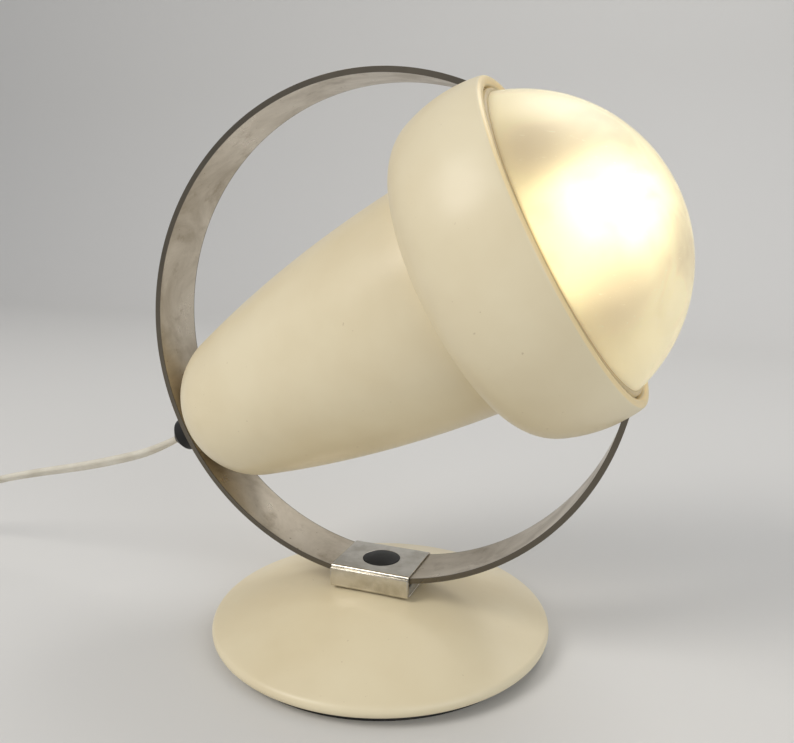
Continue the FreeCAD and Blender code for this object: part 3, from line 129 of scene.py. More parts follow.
def makeFloor():
    deselectAll()
    size, wall, radius = studio["floorSize"], studio["wallDistance"], studio["sweepRadius"]
    bpy.ops.mesh.primitive_plane_add(size=size, location=(0, wall - size / 2, 0))
    floor = bpy.context.object
    floor.name = "studioFloor"
    bpy.ops.object.mode_set(mode="EDIT")
    bpy.ops.mesh.select_all(action="DESELECT")
    bpy.ops.object.mode_set(mode="OBJECT")
    for edge in floor.data.edges:
        ends = [floor.matrix_world @ floor.data.vertices[v].co for v in edge.vertices]
        edge.select = all(math.isclose(end.y, wall, abs_tol=mm) for end in ends)
    bpy.ops.object.mode_set(mode="EDIT")
    bpy.ops.mesh.select_mode(type="EDGE")
    bpy.ops.mesh.spin(
        steps=studio["sweepSteps"], angle=math.pi / 2, center=(0, wall, radius), axis=(-1, 0, 0)
    )
    bpy.ops.mesh.extrude_region_move(TRANSFORM_OT_translate={"value": (0, 0, size)})
    bpy.ops.mesh.select_mode(type="VERT")
    bpy.ops.object.mode_set(mode="OBJECT")
    bpy.ops.object.transform_apply(location=True, rotation=True, scale=True)
    bpy.ops.object.shade_smooth()
    material = newMaterial("floorPaint")
    setSockets(material, colour=studio["floorColour"], roughness=studio["floorRoughness"])
    floor.data.materials.append(material)


# materials


def newMaterial(name):
    material = bpy.data.materials.new(name)
    material.use_nodes = True
    return material


def shaderOf(material):
    return material.node_tree.nodes["Principled BSDF"]


def setSockets(material, colour=None, **values):
    shader = shaderOf(material)
    names = {
        "roughness": "Roughness",
        "metal": "Metallic",
        "coat": "Coat Weight",
        "coatRoughness": "Coat Roughness",
        "transmission": "Transmission Weight",
        "ior": "IOR",
        "glow": "Emission Strength",
        "specular": "Specular IOR Level",
    }
    if colour is not None:
        shader.inputs["Base Color"].default_value = (*colour, 1)
    for key, value in values.items():
        shader.inputs[names[key]].default_value = value


def addNode(material, kind, **sockets):
    node = material.node_tree.nodes.new(kind)
    for name, value in sockets.items():
        node.inputs[name].default_value = value
    return node


def join(material, start, end):
    material.node_tree.links.new(start, end)


def objectPlace(material):
    return addNode(material, "ShaderNodeTexCoord").outputs["Object"]


def noise(material, place, scale, detail=3.0, roughness=0.55, distortion=0.0):
    node = addNode(
        material,
        "ShaderNodeTexNoise",
        Scale=scale,
        Detail=detail,
        Roughness=roughness,
        Distortion=distortion,
    )
    join(material, place, node.inputs["Vector"])
    return node.outputs["Fac"]


def stretched(material, place, scale, turn=(0.0, 0.0, 0.0)):
    # the place, drawn out and turned, for patterns that run one way
    node = addNode(material, "ShaderNodeMapping", Scale=scale, Rotation=turn)
    join(material, place, node.inputs["Vector"])
    return node.outputs["Vector"]


def between(material, value, look, low="dark", high="light"):
    # from one colour of the look to the other, over its range of the value
    node = addNode(material, "ShaderNodeValToRGB")
    for element, position, key in zip(node.color_ramp.elements, look["range"], (low, high)):
        element.position = position
        element.color = (*look[key], 1)
    join(material, value, node.inputs["Fac"])
    return node.outputs["Color"]


def spread(material, value, low, high, fromLow=0.3, fromHigh=0.7, way="LINEAR"):
    node = addNode(material, "ShaderNodeMapRange")
    node.interpolation_type = way
    node.inputs["From Min"].default_value = fromLow
    node.inputs["From Max"].default_value = fromHigh
    node.inputs["To Min"].default_value = low
    node.inputs["To Max"].default_value = high
    join(material, value, node.inputs["Value"])
    return node.outputs["Result"]


def vectorMath(material, operation, place, value):
    node = addNode(material, "ShaderNodeVectorMath")
    node.operation = operation
    node.inputs[1].default_value = value
    join(material, place, node.inputs[0])
    return node


def nearTo(material, place, point, core, reach):
    # 1 within core of the point, falling to 0 at reach
    away = vectorMath(material, "DISTANCE", place, point).outputs["Value"]
    return spread(material, away, 1.0, 0.0, core, reach, "SMOOTHSTEP")


def alongHead(material, place):
    # how far the place lies along the head's axis from the ring's middle
    offset = vectorMath(material, "SUBTRACT", place, ringMiddle).outputs["Vector"]
    return vectorMath(material, "DOT_PRODUCT", offset, headAxis).outputs["Value"]


def mixed(material, share, first, second):
    node = addNode(material, "ShaderNodeMix")
    node.data_type = "RGBA"
    # a colour mix has its factor in socket 0 and its two colours in sockets 6 and 7
    for socket, value in ((0, share), (6, first), (7, second)):
        if isinstance(value, bpy.types.NodeSocket):
            join(material, value, node.inputs[socket])
        else:
            node.inputs[socket].default_value = (*value, 1)
    return node.outputs[2]


def marked(material, colour, place, pattern, mark):
    # marks of another colour: how much of it shows, and where on the pattern it starts and ends
    share, low, high = pattern["marks"]
    shown = spread(material, noise(material, place, *pattern["noise"]), 0.0, share, low, high)
    return mixed(material, shown, colour, mark)


def bumped(material, place, pattern):
    # a fine relief: its noise, depth and strength
    node = addNode(
        material, "ShaderNodeBump", Strength=pattern["strength"], Distance=pattern["depth"]
    )
    join(material, noise(material, place, *pattern["noise"]), node.inputs["Height"])
    return node.outputs["Normal"]


def finishWith(material, colour, roughness=None, normal=None):
    shader = shaderOf(material)
    join(material, colour, shader.inputs["Base Color"])
    if roughness is not None:
        join(material, roughness, shader.inputs["Roughness"])
    if normal is not None:
        join(material, normal, shader.inputs["Normal"])


# noise: scale, detail, roughness, distortion; marks: share, where they start and end

paintLook = {
    "light": (0.800, 0.705, 0.495),
    "dark": (0.745, 0.640, 0.430),
    "clouds": (14.0, 4.0),
    "range": (0.35, 0.62),
    "speckColour": (0.50, 0.39, 0.24),
    "specks": {"noise": (420.0, 2.0), "marks": (0.55, 0.74, 0.80)},
    "rubs": (45.0, 5.0),
    "roughness": (0.30, 0.44),
    "peel": {"noise": (700.0, 2.0), "depth": 0.00002, "strength": 0.6},
    "coat": 0.08,
    "coatRoughness": 0.2,
    "specular": 0.4,
    # painted warm light from the lit dome on the rolled rim, from this far along the head's axis
    "rim": (0.90, 0.71, 0.38),
    "rimLightFrom": 0.0937,
    "rimLightFade": 0.0004,
}


def makeEnamel():
    # stove enamel, a little yellowed, with a fine orange peel, a few specks and painted warm light
    # on the rolled rim
    look = paintLook
    material = newMaterial("creamEnamel")
    place = objectPlace(material)
    colour = between(material, noise(material, place, *look["clouds"]), look)
    colour = marked(material, colour, place, look["specks"], look["speckColour"])
    # painted light: the rolled rim turns a warmer colour, as if lit by the dome
    start = look["rimLightFrom"]
    rim = spread(material, alongHead(material, place), 0.0, 1.0, start, start + look["rimLightFade"])
    colour = mixed(material, rim, colour, look["rim"])
    rough = spread(material, noise(material, place, *look["rubs"]), *look["roughness"])
    finishWith(material, colour, rough, bumped(material, place, look["peel"]))
    setSockets(
        material,
        coat=look["coat"],
        coatRoughness=look["coatRoughness"],
        specular=look["specular"],
    )
    return material


ringLook = {
    # the warm tone is partly painted: a reflection of warm light on the metal
    "light": (0.655, 0.585, 0.480),
    "dark": (0.440, 0.380, 0.295),
    "blotches": (26.0, 6.0, 0.62, 0.6),
    "range": (0.36, 0.60),
    "stain": (0.240, 0.180, 0.110),
    "stains": {"noise": (75.0, 5.0, 0.65), "marks": (0.55, 0.56, 0.72)},
    "pits": {"noise": (480.0, 2.0), "marks": (0.85, 0.72, 0.76)},
    # painted shade on the strip's edge faces, from the middle of the strip's width
    "edge": (0.150, 0.132, 0.105),
    "shadedEdgeFrom": 0.0139,
    "shadedEdgeTo": 0.0143,
    "roughness": (0.38, 0.24),
    "grain": {"noise": (900.0, 2.0), "depth": 0.00001, "strength": 0.35},
}


def makeRingMetal():
    # aged satin strip with blotches and fine pits, its warm tone partly a painted reflection of
    # warm light, and painted shade on its edge faces
    look = ringLook
    material = newMaterial("ringMetal")
    place = objectPlace(material)
    blotches = noise(material, place, *look["blotches"])
    colour = between(material, blotches, look)
    colour = marked(material, colour, place, look["stains"], look["stain"])
    colour = marked(material, colour, place, look["pits"], look["stain"])
    parts = addNode(material, "ShaderNodeSeparateXYZ")
    join(material, place, parts.inputs["Vector"])
    fromMiddle = addNode(material, "ShaderNodeMath")
    fromMiddle.operation = "ABSOLUTE"
    join(material, parts.outputs["Y"], fromMiddle.inputs[0])
    # painted shade: the strip's edge faces are darkened
    edges = spread(
        material, fromMiddle.outputs[0], 0.0, 1.0, look["shadedEdgeFrom"], look["shadedEdgeTo"]
    )
    colour = mixed(material, edges, colour, look["edge"])
    rough = spread(material, blotches, *look["roughness"])
    finishWith(material, colour, rough, bumped(material, place, look["grain"]))
    setSockets(material, metal=1.0)
    return material


plateLook = {
    "light": (0.66, 0.63, 0.57),
    "dark": (0.50, 0.47, 0.41),
    "patches": (120.0, 4.0),
    "range": (0.35, 0.6),
    "roughness": (0.15, 0.28),
    "stretch": (60, 900, 60),
    "scratches": {"noise": (1.0, 4.0, 0.65), "depth": 0.00001, "strength": 0.4},
}


def makeBrightPlate():
    # bright nickel plate with fine rubbed scratches
    look = plateLook
    material = newMaterial("brightPlate")
    place = objectPlace(material)
    drawn = stretched(material, place, look["stretch"])
    colour = between(material, noise(material, place, *look["patches"]), look)
    scratches = look["scratches"]
    rough = spread(material, noise(material, drawn, *scratches["noise"]), *look["roughness"])
    finishWith(material, colour, rough, bumped(material, drawn, scratches))
    setSockets(material, metal=1.0)
    return material


domeLook = {
    "colour": (0.94, 0.90, 0.74),
    "dull": (0.66, 0.59, 0.50),
    "swirls": (24.0, 3.0, 0.55, 0.8),
    "range": (0.30, 0.48),
    # painted dim patches, shade where the dome lets less of the bulb's light through: place, core,
    # reach
    "patches": (
        ((0.0773, -0.0527, 0.2260), 0.003, 0.022),
        ((0.1099, -0.0524, 0.1753), 0.003, 0.025),
    ),
    "scratch": (0.98, 0.95, 0.86),
    "stretch": (70, 520, 900),
    "turn": (0.3, 0.9, 0.5),
    "scratches": {"noise": (1.0, 2.0, 0.6, 0.4), "marks": (0.5, 0.66, 0.74)},
    # painted shade: the dome is dark inside the rim, a shadow line beside the lip, up to this far
    # along the head's axis
    "skirt": (0.34, 0.24, 0.10),
    "skirtEnd": 0.0943,
    "skirtShadeFade": 0.0002,
    "roughness": (0.448, 0.376),
    "frost": {"noise": (500.0, 3.0), "depth": 0.00003, "strength": 0.5},
    # a faint painted glow, emission standing in for the bulb's light coming through
    "paintedGlowColour": (1.0, 0.90, 0.62),
    "glow": 0.13,
    "transmission": 0.92,
    "ior": 1.45,
}


def makeFrostedDome():
    # frosted plastic, finely scratched and lit from inside by the bulb, with painted dim patches,
    # a painted shadow line inside the rim and a faint painted glow
    look = domeLook
    material = newMaterial("frostedDome")
    place = objectPlace(material)
    swirls = noise(material, place, *look["swirls"])
    colour = between(material, swirls, look, "dull", "colour")
    # painted shade: two dim patches on the lit dome
    for patch in look["patches"]:
        colour = mixed(material, nearTo(material, place, *patch), colour, look["dull"])
    drawn = stretched(material, place, look["stretch"], look["turn"])
    colour = marked(material, colour, drawn, look["scratches"], look["scratch"])
    # painted shade: a dark line where the dome meets the rim
    end = look["skirtEnd"]
    skirt = spread(material, alongHead(material, place), 1.0, 0.0, end, end + look["skirtShadeFade"])
    colour = mixed(material, skirt, colour, look["skirt"])
    rough = spread(material, swirls, *look["roughness"])
    finishWith(material, colour, rough, bumped(material, place, look["frost"]))
    # painted light: a faint glow on the dome, which is no lamp
    setSockets(material, transmission=look["transmission"], ior=look["ior"], glow=look["glow"])
    shaderOf(material).inputs["Emission Color"].default_value = (*look["paintedGlowColour"], 1)
    return material


bulbLook = {
    "light": (1.0, 0.98, 0.94),
    "dark": (0.95, 0.93, 0.88),
    "clouds": (30.0,),
    "range": (0.3, 0.7),
    "roughness": 0.4,
    "bright": (1.0, 0.93, 0.66),
    "dim": (0.23, 0.20, 0.115),
    "filament": (0.0985, -0.0100, 0.2050),
    "core": 0.007,
    "reach": 0.027,
    "strength": 4.8,
}


def makeLitBulb():
    # opal bulb, brightest round its filament
    look = bulbLook
    material = newMaterial("litBulb")
    place = objectPlace(material)
    finishWith(material, between(material, noise(material, place, *look["clouds"]), look))
    share = nearTo(material, place, look["filament"], look["core"], look["reach"])
    light = mixed(material, share, look["dim"], look["bright"])
    join(material, light, shaderOf(material).inputs["Emission Color"])
    setSockets(material, roughness=look["roughness"], glow=look["strength"])
    return material


cordLook = {
    "light": (0.72, 0.68, 0.58),
    "dark": (0.58, 0.53, 0.43),
    "soil": (55.0, 4.0),
    "range": (0.35, 0.65),
    "rubs": (150.0,),
    "roughness": (0.42, 0.56),
    "grain": {"noise": (900.0,), "depth": 0.00002, "strength": 0.5},
    "coat": 0.1,
}


def makeCordSheath():
    # cream flat flex, slightly soiled
    look = cordLook
    material = newMaterial("cordSheath")
    place = objectPlace(material)
    colour = between(material, noise(material, place, *look["soil"]), look)
    rough = spread(material, noise(material, place, *look["rubs"]), *look["roughness"])
    finishWith(material, colour, rough, bumped(material, place, look["grain"]))
    setSockets(material, coat=look["coat"])
    return material


plainLook = {
    "tint": (40.0, 4.0),
    "range": (0.35, 0.65),
    "rubs": (90.0, 4.0),
    "rubbed": 0.15,
    "grain": {"noise": (600.0, 3.0), "depth": 0.00003, "strength": 0.6},
    "metal": 0.0,
    "coat": 0.0,
    "specular": 0.5,
}

# what differs from the plain look in each slot
plainLooks = {
    "steel": {
        "name": "springSteel",
        "light": (0.55, 0.55, 0.56),
        "dark": (0.42, 0.42, 0.44),
        "roughness": 0.32,
        "metal": 1.0,
    },
    "zinc_steel": {
        "name": "zincSteel",
        "light": (0.66, 0.65, 0.60),
        "dark": (0.52, 0.51, 0.47),
        "roughness": 0.38,
        "metal": 1.0,
    },
    "cast_iron": {
        "name": "castIron",
        "light": (0.10, 0.10, 0.10),
        "dark": (0.06, 0.055, 0.05),
        "roughness": 0.7,
        "grain": {"noise": (300.0, 3.0), "depth": 0.0002, "strength": 0.6},
    },
    "felt": {
        "name": "blackFelt",
        "light": (0.045, 0.042, 0.04),
        "dark": (0.02, 0.02, 0.02),
        "roughness": 0.95,
        "grain": {"noise": (1500.0, 3.0), "depth": 0.0002, "strength": 0.6},
    },
    "black_plastic": {
        "name": "blackPlastic",
        "light": (0.018, 0.018, 0.018),
        "dark": (0.010, 0.010, 0.010),
        "roughness": 0.42,
        "specular": 0.22,
    },
    "nylon": {
        "name": "nylon",
        "light": (0.86, 0.84, 0.78),
        "dark": (0.78, 0.76, 0.70),
        "roughness": 0.45,
    },
    "cream_plastic": {
        "name": "creamPlastic",
        "light": (0.78, 0.73, 0.60),
        "dark": (0.72, 0.66, 0.53),
        "roughness": 0.32,
        "coat": 0.2,
    },
    "brass": {
        "name": "brass",
        "light": (0.74, 0.55, 0.24),
        "dark": (0.62, 0.44, 0.18),
        "roughness": 0.30,
        "metal": 1.0,
    },
    "ceramic": {
        "name": "ceramic",
        "light": (0.88, 0.86, 0.80),
        "dark": (0.82, 0.80, 0.74),
        "roughness": 0.22,
        "coat": 0.4,
    },
    "aluminium": {
        "name": "aluminium",
        "light": (0.78, 0.78, 0.79),
        "dark": (0.66, 0.66, 0.67),
        "roughness": 0.33,
        "metal": 1.0,
    },
}


def makePlain(own):
    # a plain moulded, cast or cut surface with a fine grain
    look = {**plainLook, **own}
    material = newMaterial(look["name"])
    place = objectPlace(material)
    tint = between(material, noise(material, place, *look["tint"]), look)
    roughness, rubbed = look["roughness"], look["rubbed"]
    rough = spread(
        material,
        noise(material, place, *look["rubs"]),
        roughness * (1 - rubbed),
        roughness * (1 + rubbed),
    )
    finishWith(material, tint, rough, bumped(material, place, look["grain"]))
    setSockets(material, metal=look["metal"], coat=look["coat"], specular=look["specular"])
    return material


def makeMaterials():
    made = {
        "painted_body": makeEnamel(),
        "ring_metal": makeRingMetal(),
        "chrome": makeBrightPlate(),
        "frosted": makeFrostedDome(),
        "glass": makeLitBulb(),
        "cord": makeCordSheath(),
    }
    for slot, own in plainLooks.items():
        made[slot] = makePlain(own)
    return made


# modelling helpers

headPlace = Matrix.Translation(ringMiddle) @ Matrix.Rotation(math.pi / 2 - headTilt, 4, "Y")
mergeReach = 0.000004
shortestStep = 1e-7
smoothAngle = math.radians(35.0)
left, right = 1, -1  # which way an arc turns


def inMetres(*values):
    return tuple(value * mm for value in values)


def upright(across, up):
    return (across, 0, up)


def crosswise(across, up):
    return (0, across, up)


def level(across, along):
    return (across, along, 0)


def arcPoints(start, end, radius, side, steps):
    # points after start, up to end, on the short arc that turns left or right
    a, b = Vector(start), Vector(end)
    chord = b - a
    rise = math.sqrt(max(radius**2 - (chord.length / 2) ** 2, 0.0))
    across = Vector((-chord.y, chord.x)).normalized()
    middle = a + chord / 2 + across * rise * side
    begin = math.atan2(a.y - middle.y, a.x - middle.x)
    finish = math.atan2(b.y - middle.y, b.x - middle.x)
    turn = (finish - begin) * side % (2 * math.pi) * side
    points = []
    for step in range(1, steps + 1):
        angle = begin + turn * step / steps
        points.append((middle.x + radius * math.cos(angle), middle.y + radius * math.sin(angle)))
    points[-1] = tuple(end)
    return points


def outlinePoints(corners):
    # corners: (across, up), or (across, up, radius, left or right, steps) where an arc starts
    points = [tuple(corners[0][:2])]
    for corner, after in zip(corners, corners[1:] + corners[:1]):
        if len(corner) > 2:
            points += arcPoints(corner[:2], after[:2], *corner[2:])
        else:
            points.append(tuple(after[:2]))
    return [(x * mm, y * mm) for x, y in points]


def drawnLine(name, points, plane):
    # one vertex drawn out along the points; plane turns (across, up) into a place
    deselectAll()
    bpy.ops.mesh.primitive_plane_add(size=mm, location=(0, 0, 0))
    piece = bpy.context.object
    piece.name = name
    piece.data.name = name
    bpy.ops.object.mode_set(mode="EDIT")
    bpy.ops.mesh.select_all(action="SELECT")
    bpy.ops.mesh.merge(type="CENTER")
    bpy.ops.transform.translate(value=plane(*points[0]))
    for before, after in zip(points, points[1:]):
        step = Vector(plane(*after)) - Vector(plane(*before))
        if step.length > shortestStep:
            bpy.ops.mesh.extrude_region_move(TRANSFORM_OT_translate={"value": step})
    return piece


def closeUp(piece, place=None):
    # merge what meets, point the faces outwards, put the piece in its place
    bpy.ops.mesh.select_all(action="SELECT")
    bpy.ops.mesh.remove_doubles(threshold=mergeReach)
    bpy.ops.mesh.normals_make_consistent(inside=False)
    bpy.ops.object.mode_set(mode="OBJECT")
    if place is not None:
        piece.data.transform(place)
    bpy.ops.object.shade_smooth_by_angle(angle=smoothAngle)
    return piece


def spunPiece(name, corners, steps=192, place=None):
    piece = drawnLine(name, outlinePoints(corners), upright)
    bpy.ops.mesh.select_all(action="SELECT")
    bpy.ops.mesh.spin(steps=steps, angle=2 * math.pi, center=(0, 0, 0), axis=(0, 0, 1))
    return closeUp(piece, place)


def pulledPiece(name, corners, plane, pull, place=None):
    # a closed outline, filled and pulled out to its length
    piece = drawnLine(name, outlinePoints(corners), plane)
    bpy.ops.mesh.select_all(action="SELECT")
    bpy.ops.mesh.remove_doubles(threshold=mergeReach)
    bpy.ops.mesh.select_all(action="SELECT")
    bpy.ops.mesh.edge_face_add()
    bpy.ops.transform.translate(value=Vector(pull) * -0.5)
    bpy.ops.mesh.extrude_region_move(TRANSFORM_OT_translate={"value": pull})
    return closeUp(piece, place)


def pick(piece):
    deselectAll()
    piece.select_set(True)
    bpy.context.view_layer.objects.active = piece


def applyModifier(piece, kind, **settings):
    pick(piece)
    modifier = piece.modifiers.new(kind.title(), kind)
    for key, value in settings.items():
        setattr(modifier, key, value)
    bpy.ops.object.modifier_apply(modifier=modifier.name)


def softenEdges(piece, width, segments=2, angle=30.0):
    applyModifier(
        piece,
        "BEVEL",
        width=width,
        segments=segments,
        limit_method="ANGLE",
        angle_limit=math.radians(angle),
    )
    bpy.ops.object.shade_smooth_by_angle(angle=smoothAngle)


def cutAway(piece, cutter):
    applyModifier(piece, "BOOLEAN", object=cutter, operation="DIFFERENCE", solver="EXACT")
    bpy.data.objects.remove(cutter)
    bpy.ops.object.shade_smooth_by_angle(angle=smoothAngle)


def drillDown(piece, radius, height, depth, sides):
    # a round hole on the Z axis, through the given height
    deselectAll()
    bpy.ops.mesh.primitive_cylinder_add(
        vertices=sides, radius=radius * mm, depth=depth * mm, location=(0, 0, height * mm)
    )
    cutAway(piece, bpy.context.object)


def dress(piece, slot, body, *replaced):
    piece.data.materials.clear()
    piece.data.materials.append(looks[slot])
    if replaced:
        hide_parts(*replaced)
    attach(piece, body)


# base

baseShape = {
    "radius": 81.5,
    "edge": 3.0,
    "pad": 4.6,
    "height": 26.0,
    "wall": 1.6,
    "lip": 70.0,
    "bolt": 3.1,
}


def makeBase():
    shape = baseShape
    edge, pad, wall = shape["edge"], shape["pad"], shape["wall"]
    middle = shape["radius"] - edge
    rise = shape["height"] - pad - edge
    crown = (rise**2 + middle**2 - edge**2) / (2 * (rise - edge))

    def domeAt(radius, inset):
        return shape["height"] - crown + math.sqrt((crown - inset) ** 2 - radius**2)

    def tangentAt(inset):
        share = (crown - inset) / (crown - edge)
        return middle * share, shape["height"] - crown + (crown - rise) * share

    outer, inner = tangentAt(0), tangentAt(wall)
    base = spunPiece(
        "baseDome",
        [
            (shape["bolt"], domeAt(shape["bolt"], 0), crown, right, 40),
            (*outer, edge, right, 14),
            (middle, pad),
            (shape["lip"], pad),
            (shape["lip"], pad + wall),
            (middle, pad + wall, edge - wall, left, 6),
            (*inner, crown - wall, left, 12),
            (shape["bolt"], domeAt(shape["bolt"], wall)),
        ],
    )
    dress(base, "painted_body", "base", "base_shell")


# bracket

bracketShape = {
    "length": 39.3,
    "floor": 26.0,
    "wall": 1.2,
    "bend": 1.3,
    "half": 16.8,
    "top": 36.0,
    "plateHalf": 15.5,
    "plateThickness": 0.7,
    "plateBend": 0.3,
    "plateTop": 37.15,
    "plateFoot": 28.5,
    "hole": 9.1,
    "holeSides": 96,
    "holeDepth": 6.0,
    "channelRound": 0.35,
    "plateRound": 0.12,
}


def makeBracket():
    shape = bracketShape
    inside, flat = shape["half"] - shape["wall"], shape["half"] - shape["wall"] - shape["bend"]
    outerBend, floorTop = shape["wall"] + shape["bend"], shape["floor"] + shape["wall"]
    pull = (shape["length"] * mm, 0, 0)
    channel = pulledPiece(
        "bracketChannel",
        [
            (-shape["half"], shape["top"]),
            (-shape["half"], shape["floor"] + outerBend, outerBend, left, 8),
            (-flat, shape["floor"]),
            (flat, shape["floor"], outerBend, left, 8),
            (shape["half"], shape["floor"] + outerBend),
            (shape["half"], shape["top"]),
            (inside, shape["top"]),
            (inside, floorTop + shape["bend"], shape["bend"], right, 6),
            (flat, floorTop),
            (-flat, floorTop, shape["bend"], right, 6),
            (-inside, floorTop + shape["bend"]),
            (-inside, shape["top"]),
        ],
        crosswise,
        pull,
    )
    softenEdges(channel, shape["channelRound"] * mm, segments=3)
    dress(channel, "chrome", "base", "bracket_channel")
    half, bend = shape["plateHalf"], shape["plateThickness"] + shape["plateBend"]
    flat, inside = half - bend, half - shape["plateThickness"]
    plate = pulledPiece(
        "bracketPlate",
        [
            (-half, shape["plateFoot"]),
            (-half, shape["plateTop"] - bend, bend, right, 6),
            (-flat, shape["plateTop"]),
            (flat, shape["plateTop"], bend, right, 6),
            (half, shape["plateTop"] - bend),
            (half, shape["plateFoot"]),
            (inside, shape["plateFoot"]),
            (inside, shape["plateTop"] - bend, shape["plateBend"], left, 4),
            (flat, shape["plateTop"] - shape["plateThickness"]),
            (-flat, shape["plateTop"] - shape["plateThickness"], shape["plateBend"], left, 4),
            (-inside, shape["plateTop"] - bend),
            (-inside, shape["plateFoot"]),
        ],
        crosswise,
        pull,
    )
    drillDown(plate, shape["hole"], shape["plateTop"], shape["holeDepth"], shape["holeSides"])
    softenEdges(plate, shape["plateRound"] * mm, segments=2)
    dress(plate, "chrome", "base", "bracket_plate")


buttonShape = {
    "radius": 8.9,
    "flange": 9.9,
    "bottom": 35.85,
    "flangeTop": 36.35,
    "side": 37.3,
    "top": 38.35,
    "edgeRound": 0.25,
    "steps": 96,
}


def makeButton():
    shape = buttonShape
    rise = shape["top"] - shape["side"]
    dome = (shape["radius"] ** 2 + rise**2) / (2 * rise)
    button = spunPiece(
        "releaseButton",
        [
            (0, shape["bottom"]),
            (shape["flange"], shape["bottom"]),
            (shape["flange"], shape["flangeTop"]),
            (shape["radius"], shape["flangeTop"]),
            (shape["radius"], shape["side"], dome, left, 14),
            (0, shape["top"]),
        ],
        steps=shape["steps"],
    )
    softenEdges(button, shape["edgeRound"] * mm, segments=3)
    dress(button, "black_plastic", "button", "release_button")


# ring and head

ringShape = {
    "radius": 115.0,
    "thickness": 2.5,
    "width": 29.0,
    "endAngle": 37.5,
    "segments": 260,
    "stemHole": 5.1,
    "holeSides": 64,
    "holeDepth": 20.0,
    "edgeRound": 0.4,
}


def makeRing():
    shape = ringShape
    outer = shape["radius"]
    start = math.radians(shape["endAngle"])
    total = 2 * math.pi - 2 * start
    count = shape["segments"]
    points = []
    for step in range(count + 1):
        angle = start + total * step / count
        points.append((outer * math.sin(angle) * mm, outer * math.cos(angle) * mm))
    piece = drawnLine("ringStrip", points, upright)
    bpy.ops.mesh.select_all(action="SELECT")
    bpy.ops.transform.translate(value=(0, -shape["width"] * mm / 2, 0))
    bpy.ops.mesh.extrude_region_move(TRANSFORM_OT_translate={"value": (0, shape["width"] * mm, 0)})
    closeUp(piece)
    middleFace = piece.data.polygons[count // 2]
    inwards = middleFace.normal.dot(middleFace.center) < 0
    applyModifier(
        piece,
        "SOLIDIFY",
        thickness=shape["thickness"] * mm,
        offset=1.0 if inwards else -1.0,
        use_even_offset=True,
    )
    drillDown(piece, shape["stemHole"], -outer, shape["holeDepth"], shape["holeSides"])
    softenEdges(piece, shape["edgeRound"] * mm, segments=3)
    piece.data.transform(headPlace)
    dress(piece, "ring_metal", "head_ring", "ring_strip")


bodyShape = {
    "nose": -111.0,
    "noseRadius": 8.0,
    "capRadius": 36.0,
    "capRim": (37.1, -85.0),
    "sideRadius": 600.0,
    "front": (54.4, 43.9),
    "spigot": 53.2,
    "spigotRoot": 41.9,
    "end": 56.0,
    "wall": 1.2,
    "stemHole": 5.1,
}


def makeBody():
    shape = bodyShape
    wall = shape["wall"]
    body = spunPiece(
        "rearBody",
        [
            (shape["stemHole"], shape["nose"]),
            (shape["noseRadius"], shape["nose"], shape["capRadius"], left, 22),
            (*shape["capRim"], shape["sideRadius"], left, 40),
            shape["front"],
            (shape["spigot"], shape["front"][1]),
            (shape["spigot"], shape["end"]),
            (shape["spigot"] - wall, shape["end"]),
            (shape["spigot"] - wall, shape["spigotRoot"], shape["sideRadius"], right, 16),
            (shape["capRim"][0] - wall, shape["capRim"][1], shape["capRadius"] - wall, right, 10),
            (shape["noseRadius"], shape["nose"] + wall),
            (shape["stemHole"], shape["nose"] + wall),
        ],
        place=headPlace,
    )
    dress(body, "painted_body", "head_ring", "head_body")


shadeShape = {
    "neck": (53.3, 44.0),
    "neckLength": 12.0,
    "bulge": 22.0,
    "crown": 64.0,
    "backHalf": 18.1,
    "frontHalf": 15.1,
    "wall": 1.2,
    "lip": 2.4,
    "lipBack": 91.96,
    # the slots for the ring: from and to these angles, and the gap round the strip
    "slot": (38.3, 50.0),
    "slotGap": 0.3,
    "steps": 256,
}


